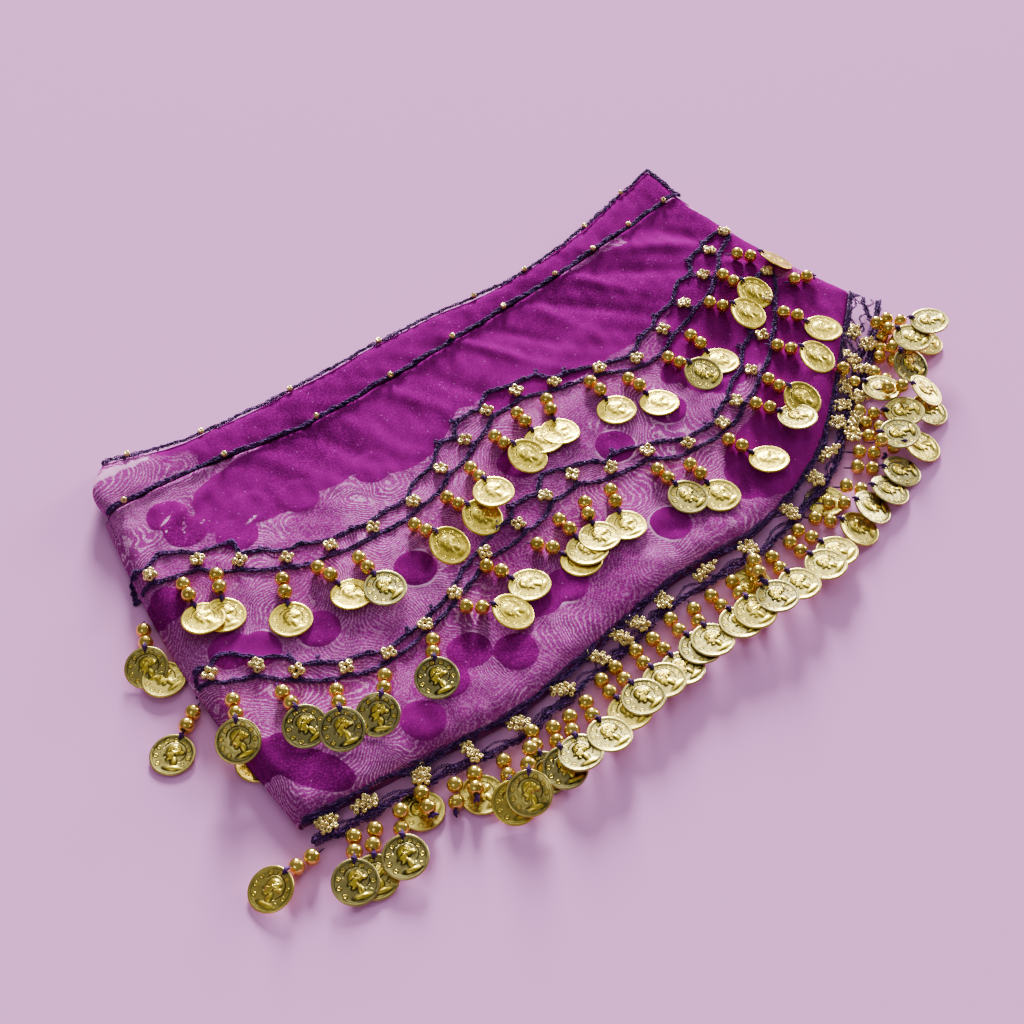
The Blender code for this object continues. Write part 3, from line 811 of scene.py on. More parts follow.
def resampled(route, step):
    """Points of a plan line, a step apart."""
    route = np.asarray(route, float)
    run = np.concatenate([[0.0], np.cumsum(np.hypot(*np.diff(route, axis=0).T))])
    count = max(2, int(round(run[-1] / step)) + 1)
    at = np.linspace(0.0, run[-1], count)
    return np.stack([np.interp(at, run, route[:, 0]), np.interp(at, run, route[:, 1])], axis=1)


def beside(route, reach, waves, phase):
    """The same plan line, wandering to either side."""
    route = np.asarray(route, float)
    ahead = np.gradient(route, axis=0)
    across = np.stack([-ahead[:, 1], ahead[:, 0]], axis=1)
    across /= np.maximum(np.linalg.norm(across, axis=1), 1e-6)[:, None]
    t = np.linspace(0.0, 1.0, len(route))
    sway = reach * np.sin(math.tau * waves * t + phase) * (0.6 + 0.4 * np.sin(math.tau * 7 * t))
    return route + across * sway[:, None]


def crochet(name, thick, thin, seed, *nodes):
    """Crochet thick and thin chains along routes, as one piece that stands for CAD nodes."""
    made = []
    for routes, size, loop in ((thick, 0.95, stitch), (thin, 0.62, thin_stitch)):
        item = path_object(name, routes)
        run_tree(item, chain_tree, {"Stitch": loop, "Stitch length": STITCH * size * MM,
                                    "Stitch size": size, "Twist": 0.8, "Seed": seed,
                                    "Yarn": yarn.material})
        made.append(item)
    whole, thin_chains = made
    joined = bmesh.new()
    joined.from_mesh(whole.data)
    joined.from_mesh(thin_chains.data)
    joined.to_mesh(whole.data)
    joined.free()
    whole.data.shade_smooth()
    bpy.data.objects.remove(thin_chains)
    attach(whole, "root")
    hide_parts(*nodes)


fine = np.linspace(0.0, 1.0, 420)
waist_line = plan(fine, np.full(fine.shape, 0.05))
waist_line[:, 1] += 0.8 * np.sin(fine * 83.0) * np.sin(fine * 19.0)
loop_line = waist_line.copy()
loop_line[:, 1] += 2.4 * np.abs(np.sin(fine * 118.0)) * (0.55 + 0.45 * np.sin(fine * 31.0))
seam_line = plan(fine, np.full(fine.shape, 1.0))
seam_line[:, 1] += 0.8 * np.sin(fine * 61.0) * np.sin(fine * 27.0 + 1.0)
band_end = plan(np.full(14, 0.995), np.linspace(0.05, 1.0, 14))
end_loops = beside(band_end, 1.2, 4, 0.3) + np.array([1.0, 0.0])
waist_over = [lying(loop_line, 1.1), lying(beside(waist_line, 0.9, 60, 0.0), 1.0),
              lying(end_loops, 0.5)]
crochet("waist_chain_edging", [lying(band_end, 0.6)], waist_over + [lying(waist_line, 0.5)], 1,
        "waist_edging")
crochet("casing_seam_chain", [lying(seam_line, 0.7)], [lying(beside(seam_line, 0.9, 55, 0), 0.9)],
        2, "seam_chain")

# ------------------------------------------------------------------ the two crocheted rows
# Each row is two chains that pinch together at clusters of seed beads and part between them:
# the upper one rises to a point and the lower one hangs in a shallow loop, with a dangle.
ROW_1 = [
    # x, y of a cluster, half the gap there, then the next peak's rise and the next loop's sag
    (-145, 71, 4.5, 1.0, 0.0), (-137, 68, 4.5, 6.0, 1.0), (-118, 62, 4.5, 6.5, 1.5),
    (-105, 50, 4.5, 2.5, 0.0), (-89, 39, 4.8, 2.5, 1.0), (-71, 33, 4.2, 1.0, 0.5),
    (-51, 30, 3.8, 1.5, 1.0), (-29, 31, 3.8, 3.0, 1.5), (-8, 39, 4.5, 4.5, 1.5),
    (11, 46, 4.8, 4.5, 1.0), (30, 54, 4.0, 4.5, 1.0), (48, 55, 4.8, 4.5, 0.5),
    (65, 48, 3.6, 1.0, 0.5), (87, 42, 3.0, 0.5, 0.0), (105, 36, 4.5, 2.0, 1.5),
    (128, 43, 5.5, 2.5, 0.5), (147, 49, 6.0, 4.0, 1.5), (168, 58, 6.0, 3.0, 0.5),
    (184, 70, 5.0, 1.0, 0.5), (201, 77, 3.0, 0.0, 0.0),
]
ROW_2 = [
    # x, y of a cluster, half the gap there, then the next peak's rise and the next loop's sag
    (-151, 13, 3.0, 0.5, 0.0), (-146, 10, 3.6, 5.5, 1.0), (-130, 1, 4.0, 3.5, 0.5),
    (-119, -11, 3.5, 1.0, 1.0), (-103, -22, 3.4, 2.0, 1.0), (-86, -27, 2.4, 0.5, 0.5),
    (-66, -25, 1.9, 0.5, 0.5), (-47, -20, 1.9, 1.0, 0.5), (-24, -11, 2.8, 2.0, 1.5),
    (-3, -8, 4.4, 4.5, 2.0), (16, -3, 3.6, 5.0, 1.5), (33, -1, 4.8, 2.0, 1.0),
    (49, -8, 4.2, 3.0, 0.0), (68, -11, 4.0, 1.0, 2.0), (85, -19, 3.6, 0.5, 0.0),
    (105, -20, 3.2, 2.5, 0.5), (119, -14, 4.0, 2.0, 1.0), (139, -4, 4.5, 3.0, 1.0),
    (160, 10, 4.8, 2.5, 0.5), (180, 27, 4.4, 1.5, 0.5), (195, 41, 3.0, 0.0, 0.0),
]
SPUR = 1.4       # length of the small picots at some peaks
row_random = random.Random(4)


def row_chains(table):
    """Routes of a row's chains and picots, and the places of its clusters."""
    table = np.array(table)
    count = len(table) - 1
    at = np.linspace(0.0, 1.0, 12 * count + 1)
    line = smooth(table[:, 0:2], at)
    ahead = np.gradient(line, axis=0)
    side = np.stack([-ahead[:, 1], ahead[:, 0]], axis=1)
    side /= np.linalg.norm(side, axis=1)[:, None]
    cell = np.minimum((at * count).astype(int), count - 1)
    p = at * count - cell
    gap = np.interp(at * count, np.arange(count + 1), table[:, 2])
    peak_at = 0.5 + 0.18 * np.sin(cell * 4.1)
    tent = np.where(p < peak_at, p / peak_at, (1 - p) / (1 - peak_at))
    upper = gap + table[cell, 3] * tent ** 0.9
    lower = -gap - table[cell, 4] * np.sin(math.pi * p)
    spurs, ties, spots = [], [], []
    for number in range(count):
        k = int(round(12 * (number + peak_at[12 * number + 6])))
        top = line[k] + side[k] * upper[k]
        if number % 3 != 1:
            spurs.append([top - side[k] * 0.5, top + side[k] * SPUR + row_random.uniform(-1, 1)])
        if number == 0:
            continue
        k = 12 * number
        spots.append(line[k])
        for lean in (-1, 1):
            near = k + lean
            far = k - lean
            ties.append([line[near] + side[near] * upper[near], line[k] - side[k] * 0.3 * lean,
                         line[far] + side[far] * lower[far]])
    spots.append(line[-1])
    return line + side * upper[:, None], line + side * lower[:, None], spurs, ties, spots


row_clusters = []
for number, table in enumerate((ROW_1, ROW_2), 1):
    upper, lower, spurs, ties, spots = row_chains(table)
    upper, lower = resampled(upper, 1.0), resampled(lower, 1.0)
    ends = resampled([upper[0], lower[0]], 1.5)
    thick = [lying(upper, 0.7), lying(lower, 0.7), lying(ends, 0.7)]
    thick += [lying(resampled(spur, 1.0), 1.0) for spur in spurs]
    thin = [lying(beside(upper, 1.0, 48, 0.5), 1.1), lying(beside(lower, 1.0, 52, 1.5), 1.1)]
    thin += [lying(resampled(tie, 1.0), 0.5) for tie in ties]
    crochet("crocheted_row_%d" % number, thick, thin, 10 + number, "crochet_row_%d" % number)
    row_clusters.append(spots)

# ------------------------------------------------------------------ the hem net
# Beyond the cloth's edge the same chains make an open net: one along the edge, one looping
# outside it, and slanting ones between them that leave holes over the table.
NET_OUT = 10.5
HEM_CLUSTERS = [
    # x of each cluster of beads in the net, from the left
    -148, -132, -108, -87, -65, -42, -21, -7, 3, 19, 44, 67, 94, 116, 131, 148, 157, 168, 184, 198,
]


def hem(u, out):
    """Plan places at distances outside the hem's edge."""
    ahead = plan(np.clip(u + 0.01, 0, 1), np.full(u.shape, 2.0)) - plan(
        np.clip(u - 0.01, 0, 1), np.full(u.shape, 2.0))
    side = np.stack([ahead[:, 1], -ahead[:, 0]], axis=1)
    side /= np.linalg.norm(side, axis=1)[:, None]
    return plan(u, np.full(u.shape, 2.0)) + side * np.asarray(out)[:, None]


def net_route(u, out, lift=0.0):
    """A route of the hem net, sloping down from the cloth to the table."""
    u = np.clip(u, 0.0, 1.0)
    at = hem(u, out)
    high = 5.4 - 3.6 * np.clip(np.asarray(out) / NET_OUT, 0.0, 1.0) + lift
    return [(x, y, z) for (x, y), z in zip(at, high)]


fine = np.linspace(0.0, 1.0, 480)
hem_x = plan(fine, np.full(fine.shape, 2.0))[:, 0]
hem_marks = np.interp(HEM_CLUSTERS, hem_x, fine)
cells = np.interp(fine, hem_marks, np.arange(len(hem_marks)) + 0.5, left=0.0,
                  right=len(hem_marks))
loops = np.abs(np.sin(math.pi * cells))
edge_out = 0.6 + 1.4 * np.sin(cells * 2.9) * np.sin(cells * 0.7)
outer_out = NET_OUT - 1.6 + 0.9 * loops + 0.6 * np.sin(cells * 1.9)
outer_out += 6.5 * np.clip((fine - 0.85) / 0.07, 0.0, 1.0)
thick = [net_route(fine, edge_out, 0.4), net_route(fine, outer_out, 1.2),
         net_route(fine, outer_out - 1.1 + 0.8 * np.sin(cells * 3.3), 0.4)]
thin = [net_route(fine, edge_out + 0.9 * np.sin(cells * 9.0), 0.9),
        net_route(fine, edge_out - 1.6 + 0.8 * np.sin(cells * 7.0 + 1), 1.3),
        net_route(fine, outer_out + 1.0 * np.sin(cells * 8.0 + 2), 0.5),
        net_route(fine, outer_out - 2.0 + 1.2 * np.sin(cells * 6.1), 0.8)]
for number, mark in enumerate(hem_marks):
    part = np.linspace(0.0, 1.0, 8)
    for lean in (-0.012, 0.012):
        bend = lean * (1 - 2 * part) + 0.004 * math.sin(number * 5.0)
        thin.append(net_route(mark + bend, 0.5 + part * (NET_OUT - 1.8)))
    wide = 0.019 + 0.004 * math.sin(number * 3.3)
    for lean in (-wide, wide):
        thin.append(net_route(mark + lean * part, 4.6 + part * (4.6 if number % 2 else -3.6)))
GATHERED = 0.80      # the net gathers from here to the right end
gathered = np.linspace(GATHERED, 1.0, 120)
for number, (middle, reach) in enumerate(((7.0, 5.0), (12.0, 4.0), (4.0, 3.0))):
    t = (gathered - GATHERED) * 60 + number
    thin.append(net_route(gathered, middle + reach * np.sin(t * 2.3) * np.sin(t * 0.9 + 1), 1.2))
thick.append(net_route(gathered, 10.5 + 3.0 * np.sin((gathered - GATHERED) * 55), 0.6))
crochet("hem_net_crochet", thick, thin, 21, "hem_net")

# ------------------------------------------------------------------ seed beads
# Small gold glass beads: single ones along the waist chains, four to six between the chains of
# each row, and seventeen smaller ones at each crossing of the hem net.
SEED_BEAD = 1.35     # radius
SEED_AROUND, SEED_SECTION = 10, 6
seed_rings = []
for k in range(SEED_AROUND):
    a = math.tau * k / SEED_AROUND
    section = []
    for j in range(SEED_SECTION):
        b = math.tau * j / SEED_SECTION
        r = SEED_BEAD * (0.58 + 0.42 * math.cos(b))
        section.append((r * math.cos(a) * MM, r * math.sin(a) * MM,
                        0.75 * SEED_BEAD * math.sin(b) * MM))
    seed_rings.append(section)
seed_bead = template("seed_bead", [skin(seed_rings, closed=True)])

copy_tree, given, add, copy_at = new_tree("Set out copies", [
    ("Piece", "Object"), ("Finish", "Material")])
turn_value = add("GeometryNodeInputNamedAttribute", [("Name", "turn")], data_type="FLOAT_VECTOR")
turned_by = add("FunctionNodeEulerToRotation", [(0, turn_value[0])])
size_value = add("GeometryNodeInputNamedAttribute", [("Name", "size")], data_type="FLOAT")
copy_at(given["Geometry"], given["Piece"], turned_by[0], size_value[0], given["Finish"])


def set_out(name, piece_object, places, finish):
    """Copies of a small piece as one mesh; each place is a matrix, a size and a wear, which on
    coins also carries painted shade.
    """
    mesh = bpy.data.meshes.new(name)
    mesh.from_pydata([tuple(at.translation) for at, _, _ in places], [], [])
    turns = [c for at, _, _ in places for c in at.to_euler()]
    mesh.attributes.new("turn", "FLOAT_VECTOR", "POINT").data.foreach_set("vector", turns)
    for column, key in ((1, "size"), (2, "wear")):
        values = [entry[column] for entry in places]
        mesh.attributes.new(key, "FLOAT", "POINT").data.foreach_set("value", values)
    item = set_down(name, mesh)
    run_tree(item, copy_tree, {"Piece": piece_object, "Finish": finish})
    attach(item, "root")
    return item


def at_place(x, y, z, rotation):
    """A placing matrix for a plan place and height in millimetres."""
    return Matrix.Translation(Vector(to_frame(x, y, z))) @ rotation.to_4x4()


def any_turn(source):
    """A random rotation."""
    spin = Matrix.Rotation(source.uniform(0, math.tau), 3, "Z")
    return spin @ Matrix.Rotation(source.uniform(-1.2, 1.2), 3, "X")


def gold(name, colour, dark, metal, roughness, wear_scale):
    """Plated metal or glass: bright, with a darker worn tone in patches."""
    nodes = Nodes(name)
    worn_spots = nodes.ramp(nodes.noise(wear_scale, 3.0), 0.35, 0.70)
    nodes.finish(Base_Color=nodes.blend(worn_spots, colour, dark), Metallic=metal,
                 Roughness=roughness, Normal=nodes.bump(nodes.noise(700.0, 2.0), 0.0003, 0.3))
    return nodes.material


seed_gold = gold("seed_bead_gold", (1.0, 0.79, 0.29), (0.62, 0.44, 0.15), 0.74, 0.22, 400.0)
bead_random = random.Random(11)
places = []
WAIST_BEADS = [0.05, 0.155, 0.28, 0.42, 0.57, 0.66, 0.80, 0.90]
SEAM_BEADS = [0.035, 0.17, 0.29, 0.40, 0.50, 0.585, 0.68, 0.76, 0.845, 0.94]
for shares, across in ((WAIST_BEADS, 0.03), (SEAM_BEADS, 1.0)):
    for x, y in plan(np.array(shares), np.full(len(shares), across)):
        z = laid_height(x, y, 1.0) + 1.9
        places.append((at_place(x, y, z, any_turn(bead_random)), 1.1, 0.0))
for spots in row_clusters:
    for x, y in spots:
        count = bead_random.choice((4, 4, 4, 5, 6))
        spin = bead_random.uniform(0, math.tau)
        for k in range(count):
            a = spin + math.tau * k / count
            r = 2.0 if count < 6 or k else 0.3
            px, py = x + r * math.cos(a), y + r * math.sin(a)
            z = laid_height(px, py, 1.0) + 1.6 + bead_random.uniform(0.0, 0.6)
            places.append((at_place(px, py, z, any_turn(bead_random)),
                           bead_random.uniform(1.1, 1.3), 0.0))
set_out("seed_beads", seed_bead, places, seed_gold)

POMPOM_BEADS = 17
GOLDEN_TURN = 2.4       # radians from each bead of a cluster to the next
places = []
pompoms = np.concatenate([hem(hem_marks, np.full(hem_marks.shape, 4.8)),
                          hem(hem_marks[-5:] - 0.012, np.full(5, 12.5))])
for number, (x, y) in enumerate(pompoms):
    stretch = 1.0 + 0.4 * math.sin(number * 1.7)
    lie = bead_random.uniform(0, math.pi)
    for k in range(POMPOM_BEADS):
        a = k * GOLDEN_TURN
        r = 1.02 * math.sqrt(k + 0.3)
        px, py = r * math.cos(a) * stretch, r * math.sin(a) / stretch
        z = 4.6 + bead_random.uniform(0.0, 1.2) - 0.15 * r
        places.append((at_place(x + px * math.cos(lie) - py * math.sin(lie),
                                y + px * math.sin(lie) + py * math.cos(lie), z,
                                any_turn(bead_random)), bead_random.uniform(0.80, 0.96), 0.0))
set_out("hem_seed_beads", seed_bead, places, seed_gold)

# ------------------------------------------------------------------ beads, knots and coins
# Each dangle is a thread with two round plated beads, knotted through a hole at the edge of a
# thin stamped coin. The coin shows a plain profile head, a ring of dots and a raised rim.
BEAD_RADIUS = 3.2
BEAD_PITCH = 6.5
THREAD_BACK = 3.6       # the thread's middle, back from the first bead's
COIN_NEAR = 10.6        # first bead to the coin's near edge
COIN_THICK = 0.5
COIN_AROUND = 40
COIN_BEND = 0.12        # how far a thin coin is bent out of flat
FACE_REACH = 7.0        # the stamped head ends inside this radius
COIN_PROFILE = [
    # radius, height: the stamped side from its middle to the rim, then the plain back
    (0.9, 0.05), (1.8, 0.05), (2.7, 0.05), (3.6, 0.04), (4.5, 0.03), (5.4, 0.02), (6.3, 0.0),
    (7.6, 0.0), (8.2, 0.25), (8.75, 0.25), (9.0, 0.0), (8.95, -0.35), (8.4, -0.5),
]
RELIEF = 0.38           # how far the head stands out
HEAD_TURN = 1.9         # radians: the head is upright when the coin hangs from its hole
HEAD_SCALE = 0.86

round_shape = bmesh.new()
bmesh.ops.create_uvsphere(round_shape, u_segments=20, v_segments=12, radius=BEAD_RADIUS * MM,
                          matrix=Matrix.Rotation(math.radians(90), 4, "Y"))
for corner in round_shape.verts:
    off_axis = math.hypot(corner.co.y, corner.co.z) / (BEAD_RADIUS * MM)
    if off_axis < 0.4:
        corner.co.x *= 0.70 + 0.30 * (off_axis / 0.4)
round_bead = template("round_bead", [round_shape])

knot = template("thread_knot", [
    strand([(-1.8, 0, 0.1), (-0.4, 0.35, 0.85), (0.9, -0.2, 1.0), (2.2, 0, 0.35)], 0.6),
    strand([(-1.2, 0.5, 0.2), (-0.2, -0.6, 0.8), (0.8, 0.55, 0.85), (1.7, -0.2, 0.3)], 0.55),
    strand([(-0.6, -1.2, 0.1), (0.0, -0.4, 1.05), (0.4, 0.5, 1.05), (0.5, 1.2, 0.1)], 0.55),
])
thread = template("thread", [
    strand([(-3.0, 0.2, 0), (-1.0, 0, 0.2), (1.0, 0.1, 0.2), (3.0, 0, 0)], 0.5)])


HEAD = [
    # x, y, half_length, half_width, turn: ovals that join into a plain profile bust
    (0.6, 1.6, 2.5, 2.2, 0), (-0.6, 0.2, 1.4, 2.0, 8), (-2.15, 0.3, 0.65, 0.32, 40),
    (-1.2, -1.6, 0.85, 0.6, 10), (0.7, -2.6, 1.9, 1.1, 84), (0.6, -5.0, 3.2, 1.0, -4),
    (3.1, 0.6, 1.0, 0.85, 20),
]
HAIR = [
    # x, y, half_length, half_width, turn
    (1.1, 2.0, 2.3, 1.7, -10), (3.1, 0.3, 1.0, 0.9, 20),
]
MARKS = [
    # x, y, half_length, half_width, turn: eye, lips, ear, hairline
    (-1.2, 0.8, 0.45, 0.14, -5), (-1.7, -0.8, 0.40, 0.10, 0), (0.9, -0.1, 0.50, 0.25, 80),
    (0.1, 1.6, 2.1, 0.14, 28),
]


def head_rise(x, y):
    """Height of the stamped head at a place on the coin's face, in millimetres."""
    c, s = math.cos(HEAD_TURN) * HEAD_SCALE, math.sin(HEAD_TURN) * HEAD_SCALE
    nearest = 9.0
    for cx, cy, half_length, half_width, degrees in HEAD:
        along, across = turned(x * c + y * s, y * c - x * s, cx, cy, degrees)
        out = (math.hypot(along / half_length, across / half_width) - 1.0) * half_width
        nearest = min(nearest, out)
    share = min(max((0.3 - nearest) / 1.1, 0.0), 1.0)
    return RELIEF * share * share * (3 - 2 * share)


coin_rings = []
for radius, height in COIN_PROFILE:
    ring = []
    for k in range(COIN_AROUND):
        a = math.tau * k / COIN_AROUND
        x, y = radius * math.cos(a), radius * math.sin(a)
        z = height + COIN_BEND * math.sin(2 * a + 1.0) * (radius / COIN_RADIUS) ** 2
        if radius < FACE_REACH:
            z += head_rise(x, y)
        ring.append(((COIN_RADIUS + x) * MM, y * MM, z * MM))
    coin_rings.append(ring)
coin_hubs = [(COIN_RADIUS * MM, 0, z * MM) for z in (0.05 + head_rise(0, 0), -COIN_THICK)]
coin = template("coin", [skin(coin_rings, hubs=coin_hubs)])
face = coin.data.attributes.new("face", "FLOAT_VECTOR", "POINT")
face.data.foreach_set("vector", [c for corner in coin.data.vertices for c in (
    corner.co.x / MM - COIN_RADIUS, corner.co.y / MM, corner.co.z / MM)])

DOTS = 11
DOT_RING = 6.4              # radius of the circle that the dots stand on
DOT_RADIUS = 0.62
INNER_RING = 7.7            # radius of the line inside the rim
CREST = (0.6, 0.9, 0.0)     # middle and radius of the curved line behind the head
CREST_RADIUS = 4.7


def oval_distance(nodes, where, table):
    """Rough distance from the nearest of a table's ovals, below zero inside."""
    nearest = None
    for x, y, half_length, half_width, degrees in table:
        local = nodes.add("Mapping", vector_type="TEXTURE", Location=(x, y, 0.0),
                          Rotation=(0.0, 0.0, math.radians(degrees)),
                          Scale=(half_length, half_width, 100.0))
        nodes.join(where, local, "Vector")
        out = (nodes.distance(local.outputs[0]) - 1.0) * half_width
        nearest = out if nearest is None else nodes.maths("SMOOTH_MIN", nearest, out, 0.45)
    return nearest


def coin_finish(name, bright, low, line):
    """Thin plated brass, stamped: olive where it goes down, with dark lines round each shape.
    Coins given less wear get more of both; on the coins turned away from the light this darkening
    is painted shade.
    """
    nodes = Nodes(name)
    ramp, maths, noise = nodes.ramp, nodes.maths, nodes.noise
    tilt = nodes.add("VectorRotate", rotation_type="Z_AXIS", Angle=-HEAD_TURN)
    nodes.join(nodes.attribute("face", "Vector"), tilt, "Vector")
    where = tilt.outputs[0]
    drawn = nodes.add("VectorMath", operation="SCALE", Scale=HEAD_SCALE)
    nodes.join(where, drawn, 0)
    head, hair, marks = [oval_distance(nodes, drawn.outputs[0], table)
                         for table in (HEAD, HAIR, MARKS)]
    beside_head = ramp(head, 0.5, 0.9)

    # The ring of dots, the line inside the rim, and the curved line behind the head.
    x, y, _ = nodes.split(where)
    radius = nodes.distance(where)
    step = maths("FRACT", maths("ARCTAN2", y, x) * (DOTS / math.tau)) - 0.5
    across_dot = step * (math.tau * DOT_RING / DOTS)
    out_dot = radius - DOT_RING
    dot = maths("SQRT", across_dot * across_dot + out_dot * out_dot)
    crest_line = abs(nodes.distance(where, CREST) - CREST_RADIUS)
    crest_cut = ramp(crest_line, 0.30, 0.12) * ramp(x + y, -1.0, 0.6)

    # What stands up: head, waves of hair and dots, with the marks pressed in.
    wave = maths("SINE", hair * 8.0)
    rising = ramp(head, 0.25, -0.75) * 0.75 + ramp(hair, 0.1, -0.3) * (wave * 0.22 + 0.25)
    rising = rising + ramp(abs(dot - DOT_RADIUS), 0.32, 0.1) * (beside_head * 0.5)
    rising = rising - ramp(marks, 0.15, -0.1) * 0.5

    # Dark lines round the shapes, more on the coins that are least worn; on the coins turned away
    # from the light the extra darkness is painted shade.
    dark = maths("MAXIMUM", ramp(abs(head), 0.42, 0.12), ramp(marks, 0.12, -0.05))
    dark = maths("MAXIMUM", dark, ramp(abs(radius - INNER_RING), 0.30, 0.08))
    dark = maths("MAXIMUM", dark, ramp(abs(dot - 0.95), 0.28, 0.08) * beside_head)
    # Low wear makes a coin darker: partly real wear, partly painted shade for the coins turned
    # away from the light.
    depth = ramp(nodes.attribute("wear"), 1.0, 0.0)
    patchy = ramp(noise(260.0, 3.0), 0.36, 0.56)
    dark_lines_and_shade = maths("MAXIMUM", dark * ((depth * 0.75 + 0.30) * (patchy * 0.6 + 0.4)),
                  crest_cut * 0.9)
    mottled = ramp(noise(420.0, 4.0, 0.7), 0.42, 0.66)
    low_share = maths("MAXIMUM", ramp(rising, 0.35, 0.0) * (depth * 0.95 + 0.05),
                      mottled * 0.30)
    colour = nodes.blend(dark_lines_and_shade, nodes.blend(low_share, bright, low), line)
    stamp = nodes.bump((rising - crest_cut) * (depth * 0.8 + 0.25), 0.0005)
    nodes.finish(Base_Color=colour, Metallic=1.0, Roughness=noise(300.0, 3.0) * 0.22 + 0.20,
                 Normal=nodes.bump(noise(650.0, 3.0), 0.0003, 0.45, stamp))
    return nodes.material


coin_gold = coin_finish("coin_gold", (0.98, 0.72, 0.06), (0.52, 0.44, 0.16), (0.05, 0.04, 0.015))
bead_gold = gold("round_bead_gold", (1.0, 0.72, 0.13), (0.66, 0.42, 0.06), 0.90, 0.15, 190.0)
dangle_random = random.Random(7)


def mark_disc(x, y, radius, top):
    """Raise the laid heights over a round piece."""
    near = np.hypot(cells_x - x, cells_y - y) < radius
    laid[near] = np.maximum(laid[near], top)


STEEPEST, HIGHEST = -1.4, 0.10      # slopes between which a coin may lean


def lay_coin(kx, ky, way, hinge, tilt):
    """Slope at which a coin leans from its knot until it touches what is below it."""
    dx, dy = cells_x - kx, cells_y - ky
    along_way = dx * way[0] + dy * way[1]
    across = -dx * way[1] + dy * way[0]
    under = (np.hypot(along_way - COIN_RADIUS, across) < COIN_RADIUS) & (along_way > 2.5)
    need = (laid[under] + COIN_THICK + 0.15 - hinge - tilt * across[under]) / along_way[under]
    slope = float(np.clip(need.max(), STEEPEST, HIGHEST))
    top = hinge + slope * along_way[under] + tilt * across[under] + 0.25
    laid[under] = np.maximum(laid[under], top)
    return slope


class Dangles:
    """Beads, threads, knots and coins that have been laid, by kind."""

    def __init__(self, ceiling):
        self.ceiling = ceiling      # greatest height of a bead's middle
        self.beads, self.threads, self.knots, self.coins = [], [], [], []

    def lay(self, x, y, heading, prop, wear, coin_shows=True):
        """Lay one dangle: beads on what is below, and a coin leaning from its propped knot."""
        a = math.radians(heading)
        way = np.array([math.cos(a), math.sin(a)])
        heading_turn = Matrix.Rotation(a, 3, "Z")
        spot = np.array([x, y], float)
        bend = dangle_random.uniform(-0.12, 0.12)
        level = 0.0
        for k in range(2):
            swing = np.array([-way[1], way[0]]) * BEAD_PITCH * bend * (1 - k) * 1.5
            bx, by = spot + way * BEAD_PITCH * k + swing
            level = min(laid_height(bx, by, 1.2) + BEAD_RADIUS, self.ceiling)
            dip = Matrix.Rotation(dangle_random.uniform(-0.3, 0.3), 3, "Y")
            self.beads.append((at_place(bx, by, level, heading_turn @ dip), 1.0, 0.0))
            if k == 0:
                tx, ty = np.array([bx, by]) - way * THREAD_BACK
                self.threads.append((at_place(tx, ty, level - 1.2, heading_turn), 0.8, 0.0))
            mark_disc(bx, by, BEAD_RADIUS - 0.4, level + BEAD_RADIUS - 1.0)
        kx, ky = spot + way * COIN_NEAR
        hinge = max(laid_height(kx, ky, 0.5) + 0.8, level - 2.2 + prop)
        if not coin_shows:
            self.knots.append((at_place(kx, ky, level - 1.0, any_turn(dangle_random)), 1.1, 0.0))
            return
        lean = ROLLED.get((x, y), dangle_random.uniform(-5, 5))
        roll_angle = math.tan(math.radians(lean))
        slope = lay_coin(kx, ky, way, hinge, roll_angle)
        ahead = Vector((way[0], way[1], slope)).normalized()
        left = Vector((-way[1], way[0], roll_angle))
        up = ahead.cross(left).normalized()
        rotation = Matrix((ahead, up.cross(ahead), up)).transposed()
        self.coins.append((at_place(kx, ky, hinge, rotation), 1.0, wear))
        self.knots.append((at_place(kx + way[0] * 0.2, ky + way[1] * 0.2, hinge + 0.1, rotation),
                           1.0, 0.0))

    def make(self, name, nodes):
        """One piece for each kind; the beads' piece stands for the CAD nodes."""
        beads = set_out(name + "_round_beads", round_bead, self.beads, bead_gold)
        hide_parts(*nodes)
        set_out(name + "_threads", thread, self.threads, yarn.material)
        set_out(name + "_knots", knot, self.knots, yarn.material)
        set_out(name + "_coins", coin, self.coins, coin_gold)


ROLLED = {(191, 58): -24.0}      # first bead's place: degrees a coin tips over the far edge
DANGLES_1 = [
    # first bead's x, y, heading in degrees, order laid, prop under the knot, wear of the coin,
    # kept low where the coin is painted darker as shade
    (-152, 50, -120, 1, 1.5, 0.35), (-131, 53, -97, 1, 0.0, 0.85), (-117, 48, -116, 0, 0.0, 0.8),
    (-98, 29, -115, 0, 0.0, 0.8), (-82, 25, -84, 0, 0.0, 0.9), (-67, 18, -94, 1, 2.5, 0.2),
    (-38, 18, -78, 0, 0.0, 0.9), (-18, 22, -76, 0, 0.0, 0.8), (2, 29, -102, 1, 0.0, 0.85),
    (20, 37, -78, 0, 0.0, 0.9), (37, 42, -90, 1, 0.0, 0.8), (53, 40, -112, 2, 0.0, 0.9),
    (77, 36, -97, 0, 0.0, 0.85), (92, 27, -89, 0, 0.0, 0.8), (115, 26, -77, 1, 3.0, 0.35),
    (133, 30, -89, 0, 0.0, 0.8), (155, 40, -62, 1, 0.0, 0.9), (173, 50, -80, 0, 0.0, 0.9),
    (191, 58, -48, 0, 3.5, 0.9),
]
